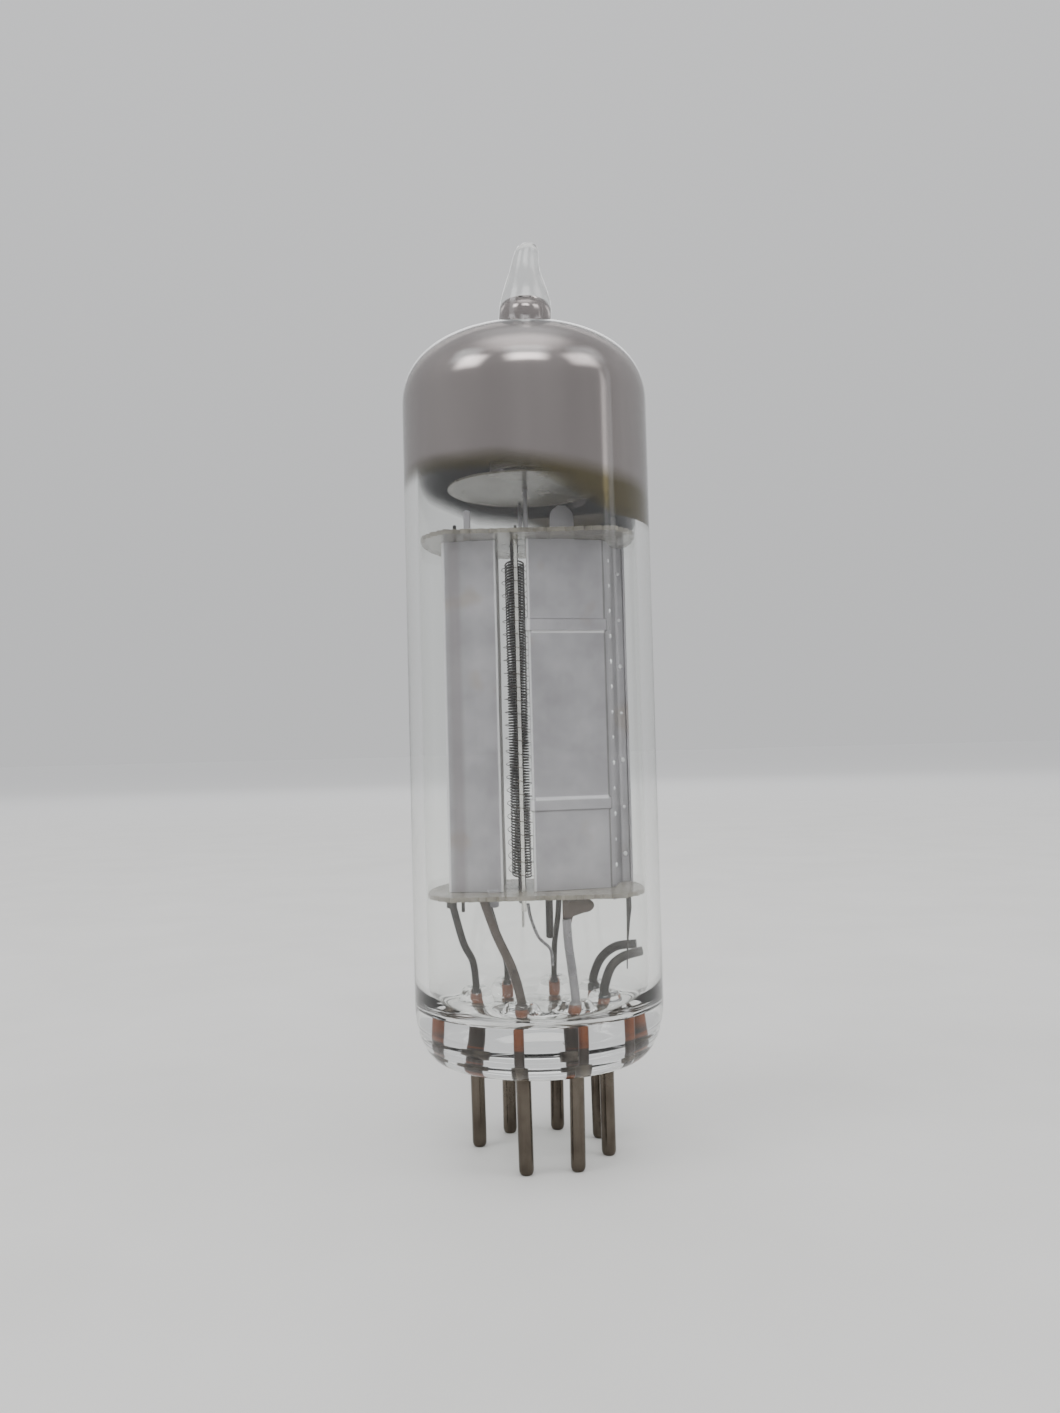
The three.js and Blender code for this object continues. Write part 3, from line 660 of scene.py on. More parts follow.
def distance_to_pin(x, y):
    return min((Vector((x, y)) - place).length for place in pin_places)


def collar_rise(x, y):
    nearest = distance_to_pin(x, y)
    crest = max(0.0, 1 - ((nearest - CREST_RADIUS) / CREST_WIDTH) ** 2) ** 0.6
    if nearest < CREST_RADIUS:
        crest = CRATER_SHARE + (1 - CRATER_SHARE) * crest
    return COLLAR_HEIGHT * crest


def under_dip(x, y):
    return -UNDER_DIP * max(0, 1 - distance_to_pin(x, y))


def raise_glass(skin, level, rise):
    for vertex in skin.data.vertices:
        x, y, z = vertex.co / MM
        if abs(z - level) < 0.35 and math.hypot(x, y) < 6.6:
            vertex.co.z += rise(x, y) * MM


# %% Join the two skins
def glass_envelope():
    outer = turned("glass_envelope", outer_profile(), segments=SKIN_SEGMENTS)
    inner = turned("inner_skin", inner_profile(), segments=SKIN_SEGMENTS)
    raise_glass(inner, BASE_TOP, collar_rise)
    raise_glass(outer, BASE_UNDERSIDE, under_dip)
    inner.data.flip_normals()
    both = bmesh.new()
    both.from_mesh(outer.data)
    both.from_mesh(inner.data)
    both.to_mesh(outer.data)
    both.free()
    bpy.data.objects.remove(inner)
    return outer


hand_over(glass_envelope(), ENVELOPE_GLASS, "envelope_glass", "glass_bulb", "glass_button", "exhaust_tip")


# %% [markdown]
# ## The getter's mirror
# Barium evaporated from the getter ring lies on the inside of the dome as a metal film. It is opaque at
# the top and thins out to a brown edge, which is lower on one side because the ring threw it unevenly.
# The film touches the glass, so light in the glass meets metal and not air, even at a grazing angle. Its
# thin shell therefore starts just inside the wall of glass. Its lower edge is a fade in the material. The
# silver ends along a tilted line, and on the right a brown smoke reaches lower than the silver does.

# %% The mirror's finish
FILM_EDGE = 39.5
SILVER_EDGE = 39.4
FILM_FADE = 1.9
EDGE_WANDER = 1.2
EDGE_TILT_X = 0.12
EDGE_TILT_Y = 0.06
SMOKE_REACH = 0.36
SMOKE_BROWN = (0.10, 0.082, 0.04)


def mirror_finish():
    film = Finish("getter_mirror")
    axes = film.axes()
    wander = film.maths("MULTIPLY", film.maths("SUBTRACT", film.noise(110, detail=3), 0.5), EDGE_WANDER * MM)
    lean_x = film.maths("MULTIPLY", axes["X"], EDGE_TILT_X)
    right = film.maths("MULTIPLY", film.maths("MAXIMUM", axes["X"], 0.0), SMOKE_REACH)
    lean = film.maths("ADD", lean_x, film.maths("MULTIPLY", axes["Y"], EDGE_TILT_Y))
    height = film.maths("ADD", film.maths("ADD", axes["Z"], lean), wander)
    over_edge = film.maths("SUBTRACT", height, SILVER_EDGE * MM)
    silvered = film.maths("DIVIDE", over_edge, FILM_FADE * MM, clamp=True)
    smoked = film.maths("SUBTRACT", film.maths("ADD", height, right), FILM_EDGE * MM)
    depth = film.maths("DIVIDE", smoked, FILM_FADE * MM, clamp=True)
    bands = film.noise(260, detail=3, place=film.stretched((1, 1, 0.12)))
    silver = film.ramp(bands, (0.3, (0.235, 0.208, 0.204)), (0.7, (0.30, 0.268, 0.263)))
    colour = film.mixed(film.ramp(silvered, (0.3, 0.0), (0.9, 1.0)), SMOKE_BROWN, silver)
    film.link(colour, film.shader.inputs["Base Color"])
    film.link(film.ramp(bands, (0.3, 0.06), (0.7, 0.11)), film.shader.inputs["Roughness"])
    film.shader.inputs["Metallic"].default_value = 1.0
    thickness = film.ramp(depth, (0.0, 0.0), (0.25, 0.35), (0.6, 0.85), (0.85, 1.0))
    film.link(thickness, film.shader.inputs["Alpha"])
    film.bump(film.noise(150, detail=1), 0.03, 0.25)
    return film.material


# %% The mirror's shell
FILM_LOW = 36.9
FILM_OUTSIDE = -0.04
FILM_INSIDE = 0.03


def film_side(inset):
    radius = BORE_RADIUS - inset
    height = CROWN - SHOULDER - BULB_WALL - inset
    wall = run((radius, FILM_LOW), (radius, SHOULDER), 18)
    return [*wall, *dome(radius, height, HOLLOW_MOUTH - inset, 22), *tip_hollow(inset, inset)[:-1]]


def getter_film():
    profile = [*film_side(FILM_OUTSIDE), *film_side(FILM_INSIDE)[::-1]]
    return turned("getter_film", profile, segments=128, closed=True)


hand_over(getter_film(), mirror_finish(), "getter_mirror", "getter_film")


# %% [markdown]
# ## Wires that follow a path
# Leads, straps and the heater all follow a path, so one Geometry Nodes tree makes them. It takes the
# object's own curve, rounds it as a Catmull-Rom curve, samples it evenly and sweeps a circle along it.
# Each curve point's radius scales the circle, so a wire can be thickened or nipped at its weld.

# %% A helper that builds a Geometry Nodes tree
INPUT_KINDS = {int: "NodeSocketInt", float: "NodeSocketFloat", tuple: "NodeSocketVector"}


class Shape:
    """A Geometry Nodes tree with named inputs, each with the value that it has until one is set."""

    def __init__(self, name, takes_geometry, **inputs):
        self.tree = bpy.data.node_groups.new(name, "GeometryNodeTree")
        if takes_geometry:
            self.socket("Geometry", "NodeSocketGeometry")
        for label, value in inputs.items():
            self.socket(label.replace("_", " ").title(), INPUT_KINDS[type(value)]).default_value = value
        self.socket("Material", "NodeSocketMaterial")
        self.socket("Geometry", "NodeSocketGeometry", "OUTPUT")
        self.given = self.tree.nodes.new("NodeGroupInput").outputs
        self.result = self.tree.nodes.new("NodeGroupOutput").inputs[0]

    def socket(self, label, kind, direction="INPUT"):
        return self.tree.interface.new_socket(label, in_out=direction, socket_type=kind)

    def add(self, kind, *values, **named):
        """Add a node and return its first output. Values go to its inputs in order, capitalised names are
        its inputs by name, and the other names are its settings. A list links several into one input."""
        node = self.tree.nodes.new(kind)
        for key, value in named.items():
            if key[0].islower():
                setattr(node, key, value)
        inputs = dict(enumerate(values))
        inputs.update({key.replace("_", " "): value for key, value in named.items() if key[0].isupper()})
        for key, value in inputs.items():
            for item in value if isinstance(value, list) else [value]:
                if isinstance(item, bpy.types.NodeSocket):
                    self.tree.links.new(item, node.inputs[key])
                else:
                    node.inputs[key].default_value = item
        return next(output for output in node.outputs if output.enabled)

    def maths(self, operation, first, second):
        return self.add("ShaderNodeMath", first, second, operation=operation)

    def close(self, geometry, smooth=True):
        whole = self.add("GeometryNodeRealizeInstances", geometry)
        if smooth:
            whole = self.add("GeometryNodeSetShadeSmooth", whole)
        finish = self.add("GeometryNodeSetMaterial", Geometry=whole, Material=self.given["Material"])
        self.tree.links.new(finish, self.result)
        return self.tree


# %% A helper that runs a tree on an object and keeps the plain mesh
def run_tree(base, tree, **values):
    modifier = base.modifiers.new("shape", "NODES")
    modifier.node_group = tree
    for item in tree.interface.items_tree:
        key = item.name.replace(" ", "_").lower()
        if item.in_out == "INPUT" and key in values:
            modifier[item.identifier] = values[key]
    graph = bpy.context.evaluated_depsgraph_get()
    mesh = bpy.data.meshes.new_from_object(base.evaluated_get(graph), depsgraph=graph)
    name = base.name
    base.name = name + "_base"
    piece = bpy.data.objects.new(name, mesh)
    bpy.context.scene.collection.objects.link(piece)
    bpy.data.objects.remove(base)
    piece.name = name
    return clean(piece)


def curve_object(name, paths, radii=None, cyclic=False):
    curve = bpy.data.curves.new(name, "CURVE")
    curve.dimensions = "3D"
    for index, path in enumerate(paths):
        spline = curve.splines.new("POLY")
        spline.points.add(len(path) - 1)
        spline.use_cyclic_u = cyclic
        for step, point in enumerate(path):
            spline.points[step].co = (*(Vector(point) * MM), 1)
            spline.points[step].radius = radii[index][step] if radii else 1.0
    piece = bpy.data.objects.new(name, curve)
    bpy.context.scene.collection.objects.link(piece)
    return piece


# %% The tree that sweeps a wire along its path
WIRE_STEP = 0.12


def wire_tree():
    wire = Shape("wire_on_path", True, wire_radius=0.3 * MM, step=WIRE_STEP * MM, sides=16)
    given = wire.given
    rounded = wire.add("GeometryNodeCurveSplineType", Curve=given["Geometry"], spline_type="CATMULL_ROM")
    even = wire.add("GeometryNodeResampleCurve", Curve=rounded, Length=given["Step"], mode="LENGTH")
    section = {"Resolution": given["Sides"], "Radius": given["Wire Radius"]}
    circle = wire.add("GeometryNodeCurvePrimitiveCircle", **section)
    return wire.close(wire.add("GeometryNodeCurveToMesh", Curve=even, Profile_Curve=circle, Fill_Caps=True))


WIRE_TREE = wire_tree()


def swept_wire(name, path, radius, material, scales=None, step=WIRE_STEP, sides=16):
    base = curve_object(name, [path], [scales] if scales else None)
    size = {"wire_radius": radius * MM, "step": step * MM, "sides": sides}
    return run_tree(base, WIRE_TREE, **size, material=material)


# %% [markdown]
# ## Pins and sealed wires
# A pin is a nickel rod with a rounded end, butt-welded inside the glass to a thinner copper-clad wire.
# Both are turned on their own axes. Each pin gets a slightly different stance, as handled pins have.

# %% Make the seven pins and their sealed wires
SEAL_RADIUS = 0.3
PIN_NOSE = 0.42
PIN_NOSE_ROUND = 0.2
PIN_SWAY = 0.011


def pin(number, place):
    shank_low = PIN_END + PIN_NOSE
    nose = quarter((PIN_RADIUS - PIN_NOSE_ROUND, shank_low), (PIN_NOSE_ROUND, PIN_NOSE), -math.pi / 2, 8)
    shank = run((PIN_RADIUS, shank_low), (PIN_RADIUS, PIN_TOP - 0.15), 14)
    shoulder = [(PIN_RADIUS - 0.02, PIN_TOP - 0.12), (SEAL_RADIUS, PIN_TOP), (0.0, PIN_TOP)]
    profile = [(0.0, PIN_END), *nose, *shank, *shoulder]
    piece = turned(f"pin_{number}", profile, segments=32, centre=place)
    stance = Vector((math.sin(number * 2.1), math.cos(number * 1.7), 0)) * PIN_SWAY
    for vertex in piece.data.vertices:
        drop = max(0.0, -vertex.co.z)
        vertex.co += stance * drop
    return piece


def seal_wire(number, place):
    top = span(f"seal_wire_{number}")[1].z
    side = run((SEAL_RADIUS, PIN_TOP), (SEAL_RADIUS, top), 6)
    profile = [(0.0, PIN_TOP), (SEAL_RADIUS, PIN_TOP), *side, (SEAL_RADIUS, top), (0.0, top)]
    return turned(f"seal_wire_{number}", profile, segments=20, centre=place)


for number, place in enumerate(pin_places, 1):
    hand_over(pin(number, place), PIN_NICKEL, "pin_nickel", f"pin_{number}")
    hand_over(seal_wire(number, place), SEAL_COPPER, "seal_copper", f"seal_wire_{number}")


# %% [markdown]
# ## The inner leads
# Each lead is welded on top of its sealed wire and bends to the part of the cage that it serves. The
# routes follow the CAD model's. The end of a lead is nipped a little where the welder's tips pressed it.

# %% Sweep the seven leads
lead_routes = [
    (0.31, BROWN_LEAD, "pin_nickel", [(-1.75, -4.3, 7), (-2.75, -3.75, 9.2), (-3.6, -3.3, 11.55)]),
    (0.3, LEAD_NICKEL, "cage_nickel", [(2.25, -3.95, 6.6), (2.05, -3.62, 8.5), (1.98, -3.56, 10.1)]),
    (0.33, DARK_WIRE, "dark_wire", [(5.15, -0.75, 6.25), (6.1, -0.35, 6.9), (7.6, -0.05, 7.2)]),
    (0.33, DARK_WIRE, "dark_wire", [(4.65, 2, 6.35), (5.75, 1.5, 7.3), (7.35, 0.95, 7.55)]),
    (0.22, DARK_WIRE, "dark_wire", [(1.3, 4.3, 7.2), (1.6, 3.7, 9.4), (1.75, 3.4, 11.55)]),
    (0.22, DARK_WIRE, "dark_wire", [(-2.45, 3.85, 6), (-3, 3.5, 8.1), (-3.95, 3.2, 11.55)]),
    (0.27, DARK_WIRE, "dark_wire", [(-4.75, 0.75, 6.6), (-5.3, -0.4, 8.2), (-5.93, -0.98, 10.9)]),
]
SEAL_TOP = span("seal_wire_1")[1].z

for number, (radius, material, slot_name, route) in enumerate(lead_routes, 1):
    x, y = pin_places[number - 1]
    path = [(x, y, SEAL_TOP - 0.2), (x, y, SEAL_TOP + 0.35), (x, y, SEAL_TOP + 0.9), *route]
    scales = [1.35, 1.2, 1.0, *[1.0] * (len(route) - 1), 0.95]
    lead = swept_wire(f"lead_{number}", path, radius, material, scales)
    hand_over(lead, material, slot_name, f"lead_{number}")


# %% [markdown]
# ## Strips and tabs
# A strip is a flat outline with a thickness. It is filled as one face, given its thickness by Solidify,
# and gets a fine bevel, because the bright line along a cut edge is what tells the eye that it is metal.

# %% A helper for flat pieces
def plate(name, outline, thickness, bevel=0.02):
    points = [Vector(point) for point in outline]
    piece = mesh_object(name, points, [tuple(range(len(points)))], smooth=False)
    solid = piece.modifiers.new("thickness", "SOLIDIFY")
    solid.thickness = thickness * MM
    solid.offset = 0
    edge = piece.modifiers.new("edge", "BEVEL")
    edge.width = bevel * MM
    edge.segments = 2
    edge.limit_method = "ANGLE"
    graph = bpy.context.evaluated_depsgraph_get()
    mesh = bpy.data.meshes.new_from_object(piece.evaluated_get(graph), depsgraph=graph)
    piece.modifiers.clear()
    piece.data = mesh
    return clean(piece)


def arc_points(centre, reach, start, end, count):
    angles = [math.radians(start + (end - start) * step / count) for step in range(count + 1)]
    return [(centre[0] + reach[0] * math.cos(a), centre[1] + reach[1] * math.sin(a)) for a in angles]


# %% The flat tab on lead 2, the tapered ribbon and the sleeve
UNDER_MICA = LOWER_MICA - MICA_GAP


def lead_tab():
    lobe = arc_points((3.15, 11.0), (0.72, 0.5), -90, 60, 10)
    outline = [(1.72, 9.7), (2.28, 9.7), (2.42, 10.25), *lobe, (3.3, UNDER_MICA), (1.72, UNDER_MICA)]
    return plate("lead_2_tab", [(x, -3.32, z) for x, z in outline], 0.13)


def side_ribbon():
    left = [(6.34, UNDER_MICA), (6.33, 9.7), (6.3, 8.0), (6.24, 6.1)]
    right = [(6.32, 6.1), (6.42, 8.0), (6.58, 9.5), (6.72, 10.4), (6.7, UNDER_MICA)]
    return plate("side_ribbon", [(x, -0.85, z) for x, z in [*left, *right]], 0.1)


def lead_sleeve():
    x, y = centre_of("lead_7_sleeve").xy
    low, high = span("lead_7_sleeve")[0].z, span("lead_7_sleeve")[1].z
    mouth = [(0.29, low), (0.35, low), (0.37, low + 0.06), (0.37, high - 0.06), (0.35, high), (0.0, high)]
    return turned("lead_7_sleeve", [(0.0, low), *mouth], segments=32, centre=(x, y))


hand_over(lead_tab(), BROWN_LEAD, "cage_nickel", "lead_2_tab")
hand_over(side_ribbon(), DARK_WIRE, "dark_wire", "side_ribbon")
hand_over(lead_sleeve(), DARK_WIRE, "dark_wire", "lead_7_sleeve")

strap_path = [(-0.62, 0.35, 10.7), (-0.45, 0.9, 9.6), (0.1, 2.2, 8), (0.95, 3.4, 6.9), (1.08, 4, 5.6)]
strap = swept_wire("cathode_strap", strap_path, 0.12, LEAD_NICKEL, [1, 1, 1, 1, 1.6])
hand_over(strap, LEAD_NICKEL, "cage_nickel", "cathode_strap")


# %% [markdown]
# ## The anode sheets
# An anode sheet is one strip of nickel, bent along upright lines. A sheet is made here as a grid. Its
# columns follow the plan of the bends, with a small arc at each bend, and its rows climb the cage. A
# column keeps its outward direction, so a bead or a groove is a small step outwards. Ears are more rows
# on some of the columns, drawn in to a round end. Both faces of the sheet are made, and a rim joins them.

# %% The plan of a bent strip
class Plan:
    """A bent strip seen from above: points at equal steps, with a small arc at each bend."""

    def __init__(self, corners, bend=0.28, outward=1):
        self.outward = outward
        points = [Vector(corners[0])]
        self.corner_marks = [0.0]
        for before, corner, after in zip(corners, corners[1:], corners[2:]):
            before, corner, after = Vector(before), Vector(corner), Vector(after)
            cut = min(bend, (corner - before).length * 0.45, (after - corner).length * 0.45)
            start = corner + (before - corner).normalized() * cut
            end = corner + (after - corner).normalized() * cut
            points += [start.lerp(corner, t).lerp(corner.lerp(end, t), t) for t in (0, 0.2, 0.4, 0.6, 0.8, 1)]
            self.corner_marks.append(self.length(points[:-3]))
        points.append(Vector(corners[-1]))
        self.corner_marks.append(self.length(points))
        self.points = points
        self.marks = [self.length(points[: index + 1]) for index in range(len(points))]

    @staticmethod
    def length(points):
        return sum((after - before).length for before, after in zip(points, points[1:]))

    def at(self, distance):
        distance = min(max(distance, 0), self.marks[-1])
        index = max(i for i, mark in enumerate(self.marks[:-1]) if mark <= distance + 1e-9)
        part = (distance - self.marks[index]) / max(self.marks[index + 1] - self.marks[index], 1e-9)
        return self.points[index].lerp(self.points[index + 1], part)

    def out(self, distance):
        along = self.at(distance + 0.05) - self.at(distance - 0.05)
        return Vector((along.y, -along.x)).normalized() * self.outward

    def distance_at_x(self, leg, x):
        start, end = self.corner_marks[leg], self.corner_marks[leg + 1]
        places = [start + (end - start) * step / 400 for step in range(401)]
        return min(places, key=lambda distance: abs(self.at(distance).x - x))


# %% Columns and rows of a sheet
SHEET = 0.18
ROW_STEP = 0.2
COLUMN_STEP = 0.3


def even_steps(start, end, step):
    count = math.ceil((end - start) / step)
    return [start + (end - start) * index / count for index in range(count + 1)]


def sheet_columns(plan, ears):
    stops = set(plan.marks) | set(even_steps(0, plan.marks[-1], COLUMN_STEP))
    for start, end, _, _ in ears:
        stops |= set(even_steps(start, end, (end - start) / 6))
    columns = []
    for stop in sorted(stops):
        if not columns or stop - columns[-1] > 0.02:
            columns.append(stop)
    return columns


# The rows lie closer together at the edges of the beads, so that the beads come out crisp.
BEAD_LEVELS = (17.9, 30.4)
BEAD_HALF_HEIGHT = 0.5
BEAD_RISE = 0.19
BEAD_ROUNDING = 0.14


def sheet_levels():
    edges = [level + side * BEAD_HALF_HEIGHT for level in BEAD_LEVELS for side in (-1, 1)]
    fine = [edge + step * 0.045 for edge in edges for step in range(-4, 5)]
    levels = []
    for level in sorted([*fine, *even_steps(CAGE_BOTTOM, CAGE_TOP, ROW_STEP)]):
        if not levels or level - levels[-1] > 0.02:
            levels.append(level)
    return levels


# %% A sheet from its plan
# Each point is made twice, on the outer and on the inner face. The open edges of the two faces are
# joined by a rim of two rows, which meet at points midway between the faces.
class Sheet:
    def __init__(self, plan, relief):
        self.plan = plan
        self.relief = relief
        self.outer = []
        self.inner = []
        self.faces = []

    def place(self, distance, z):
        out = self.plan.out(distance)
        spot = self.plan.at(distance) + out * self.relief(distance, z)
        self.outer.append((*spot, z))
        self.inner.append((*(spot - out * SHEET), z))
        return len(self.outer) - 1

    def strip(self, low, high):
        self.faces += [(low[i], low[i + 1], high[i + 1], high[i]) for i in range(len(low) - 1)]

    def ear(self, columns, edge, root, ear):
        start, end, tip, roundness = ear
        picked = [i for i, distance in enumerate(columns) if start - 0.025 <= distance <= end + 0.025]
        middle, half = (start + end) / 2, (end - start) / 2
        below = [edge[i] for i in picked]
        for step in range(1, 10):
            z = root + (tip - root) * (1 - (1 - step / 9) ** 1.6)
            drawn_in = max(1 - abs(tip - z) / (roundness * half), 0)
            width = max(math.sqrt(1 - drawn_in ** 2), 0.35)
            above = [self.place(middle + (columns[i] - middle) * width, z) for i in picked]
            self.strip(below, above)
            below = above

    def mesh(self, name):
        count = len(self.outer)
        edges = dict.fromkeys(edge for face in self.faces for edge in zip(face, face[1:] + face[:1]))
        rim = [(start, end) for start, end in edges if (end, start) not in edges]
        behind = [tuple(index + count for index in face[::-1]) for face in self.faces]
        middles = {}
        points = [*self.outer, *self.inner]
        for index in sorted({index for edge in rim for index in edge}):
            middles[index] = len(points)
            points.append(tuple((Vector(self.outer[index]) + Vector(self.inner[index])) / 2))
        outer_rim = [(end, start, middles[start], middles[end]) for start, end in rim]
        inner_rim = [(middles[end], middles[start], start + count, end + count) for start, end in rim]
        return clean(mesh_object(name, points, [*self.faces, *behind, *outer_rim, *inner_rim]))


def bent_sheet(name, plan, relief, ears):
    sheet = Sheet(plan, relief)
    columns = sheet_columns(plan, ears)
    rows = [[sheet.place(distance, z) for distance in columns] for z in sheet_levels()]
    for low, high in zip(rows, rows[1:]):
        sheet.strip(low, high)
    for ear_facts in ears:
        upper = ear_facts[2] > CAGE_TOP
        sheet.ear(columns, rows[-1] if upper else rows[0], CAGE_TOP if upper else CAGE_BOTTOM, ear_facts)
    return sheet.mesh(name)


# %% Relief: beads, a groove and the waviness of thin metal
def waviness(distance, z):
    return 0.03 * noise.noise(Vector((distance * 0.5, z * 0.22, 3.1)))


def wide_relief(distance, z):
    start, end = wide_front.corner_marks[2], wide_front.corner_marks[3]
    ends = smooth_step((distance - start + 0.45) / 0.3) * smooth_step((end + 0.5 - distance) / 0.35)
    bead = sum(smooth_step((BEAD_HALF_HEIGHT - abs(z - level)) / BEAD_ROUNDING) for level in BEAD_LEVELS)
    groove = max(0, 1 - abs(distance - start - 0.62) / 0.1)
    return BEAD_RISE * bead * ends - 0.06 * groove * (1 - min(bead, 1)) + waviness(distance, z)


# %% Build the four sheets
wide_front = Plan([(0.3, -0.04), (0.05, -1.9), (-0.17, -3.1), (5.3, -1.68), (6.42, 1.75), (7.1, 1.75)])
wide_back = Plan(
    [(0.3, 0.04), (0.05, 1.9), (-0.17, 3.1), (5.3, 3.1), (6.42, 2.14), (7.32, 2.14), (7.32, 1.45)],
    bend=0.2, outward=-1)
narrow_corners = [(-2.62, 0.04), (-2.38, 1.9), (-2.18, 2.85), (-6.02, 2.25), (-6.02, 0.04)]
narrow_front = Plan([(x, -y) for x, y in narrow_corners], outward=-1)
narrow_back = Plan(narrow_corners)


def ear(plan, leg, from_x, to_x, tip, round_end=1.0):
    ends = sorted((plan.distance_at_x(leg, from_x), plan.distance_at_x(leg, to_x)))
    return (*ends, tip, round_end)


wide_front_ears = [
    ear(wide_front, 2, 1.62, 3.24, 38.8),
    ear(wide_front, 3, 5.45, 5.8, 37.45, 0.5),
    ear(wide_front, 3, 5.5, 5.8, 11.0),
]
wide_back_ears = [
    ear(wide_back, 4, 6.45, 6.8, 38.8, 0.3),
    ear(wide_back, 4, 6.5, 6.75, 11.2, 0.3),
    ear(wide_back, 2, 3.9, 4.5, 10.8),
]
narrow_front_ears = [
    ear(narrow_front, 2, -3.98, -4.4, 38.6, 0.3),
    ear(narrow_front, 2, -2.6, -3.2, 10.9, 0.4),
]
sheets = [
    ("anode_wide_front", wide_front, wide_relief, wide_front_ears),
    ("anode_wide_back", wide_back, waviness, wide_back_ears),
    ("anode_narrow_front", narrow_front, waviness, narrow_front_ears),
    ("anode_narrow_back", narrow_back, waviness, [ear(narrow_back, 2, -3.5, -4.5, 37.6)]),
]
for name, plan, relief, ears in sheets:
    hand_over(bent_sheet(name, plan, relief, ears), CAGE_NICKEL, "cage_nickel", name)


# %% [markdown]
# ## Weld dots
# The sheets are held by spot welds, which show as small bright dots in a row; their near-white colour is
# a painted glint. A Geometry Nodes tree sets points along a straight line, drops a flattened ball on each
# and turns it by a seeded random amount.

# %% The tree that sets a row of dots
DOT_SIZE = 0.16
DOT_SEED = 4
DOT_RISE = 0.02


def dot_tree():
    places = {"count": 10, "start": (0, 0, 0), "step": (0, 0, 0)}
    row = Shape("row_of_weld_dots", False, **places, size=DOT_SIZE * MM, seed=DOT_SEED)
    given = row.given
    ends = {"Start_Location": given["Start"], "Offset": given["Step"]}
    line = row.add("GeometryNodeMeshLine", Count=given["Count"], **ends, mode="OFFSET")
    ball = row.add("GeometryNodeMeshUVSphere", Segments=14, Rings=8, Radius=given["Size"])
    flat = row.add("GeometryNodeTransform", Geometry=ball, Scale=(1, 0.5, 1))
    seeded = {"kind": "FunctionNodeRandomValue", "Seed": given["Seed"]}
    size = row.add(**seeded, data_type="FLOAT", Min=0.75, Max=1.25)
    turn = row.add(**seeded, data_type="FLOAT_VECTOR", Min=(0, -3, 0), Max=(0, 3, 0))
    return row.close(row.add(
        "GeometryNodeInstanceOnPoints", Points=line, Instance=flat, Rotation=turn, Scale=size))


DOT_TREE = dot_tree()


def weld_row(name, plan, distance, count, low, high):
    facing = plan.out(distance)
    spot = plan.at(distance) + facing * DOT_RISE
    step = (high - low) / (count - 1)
    places = {"count": count, "start": (0, 0, low * MM), "step": (0, 0, step * MM)}
    base = mesh_object(name, [(0, 0, 0)], [])
    dots = run_tree(base, DOT_TREE, **places, size=DOT_SIZE * MM, seed=DOT_SEED, material=WELD_PAINTED_GLINT)
    turn = math.atan2(facing.y, facing.x) + math.pi / 2
    dots.data.transform(Matrix.Translation((spot.x * MM, spot.y * MM, 0)) @ Matrix.Rotation(turn, 4, "Z"))
    hand_over(dots, WELD_PAINTED_GLINT, "cage_nickel", "anode_wide_front")


side_middle = (wide_front.corner_marks[3] + wide_front.corner_marks[4]) / 2 - 0.2
flange_middle = wide_front.corner_marks[4] + 0.36
weld_row("weld_dots_side", wide_front, side_middle, 13, 13.4, 35.2)
weld_row("weld_dots_flange", wide_front, flange_middle, 7, 14, 34.5)


# %% [markdown]
# ## The grids
# A grid is a pair of side rods with a fine wire wound round both, many turns to the centimetre. The
# winding is a spiral, so one Geometry Nodes tree makes it from the sizes: a spiral curve is pressed into
# an ellipse and turned to face its rods, and a thin circle is swept along it.

# %% The tree that winds a grid
def winding_tree():
    sizes = {"half_width": 0.5 * MM, "half_depth": 1.5 * MM, "wire_radius": 0.03 * MM}
    places = {"low": 0.0, "height": 20 * MM, "turned_by": 0.0, "axis_x": 0.0}
    grid = Shape("grid_winding", False, turns=20.0, **sizes, **places)
    given = grid.given
    round_axis = {"Resolution": 28, "Start_Radius": 1.0, "End_Radius": 1.0}
    spiral = grid.add(
        "GeometryNodeCurveSpiral", **round_axis, Rotations=given["Turns"], Height=given["Height"])
    press = grid.add("ShaderNodeCombineXYZ", given["Half Width"], given["Half Depth"], 1.0)
    turn = grid.add("ShaderNodeCombineXYZ", Z=given["Turned By"])
    stand = grid.add("ShaderNodeCombineXYZ", X=given["Axis X"], Z=given["Low"])
    pressed = grid.add(
        "GeometryNodeTransform", Geometry=spiral, Translation=stand, Rotation=turn, Scale=press)
    wire = grid.add("GeometryNodeCurvePrimitiveCircle", Resolution=6, Radius=given["Wire Radius"])
    return grid.close(grid.add(
        "GeometryNodeCurveToMesh", Curve=pressed, Profile_Curve=wire, Fill_Caps=True))


WINDING_TREE = winding_tree()
AXIS_X = -1.0
WINDING_LOW = 12.8
WINDING_HEIGHT = 22.4


# %% Wind the three grids and set up their rods
def rounded_rod(name, place, radius, low, high, flat=1.0):
    chamfer = radius * 0.35
    side = run((radius, low + chamfer), (radius, high - chamfer), 24)
    foot = [(0.0, low), (radius - chamfer, low), (radius, low + chamfer)]
    head = [(radius, high - chamfer), (radius - chamfer, high), (0.0, high)]
    piece = turned(name, [*foot, *side, *head], segments=20)
    for vertex in piece.data.vertices:
        vertex.co = Vector((vertex.co.x, vertex.co.y * flat, vertex.co.z)) + Vector((*place, 0)) * MM
    return piece


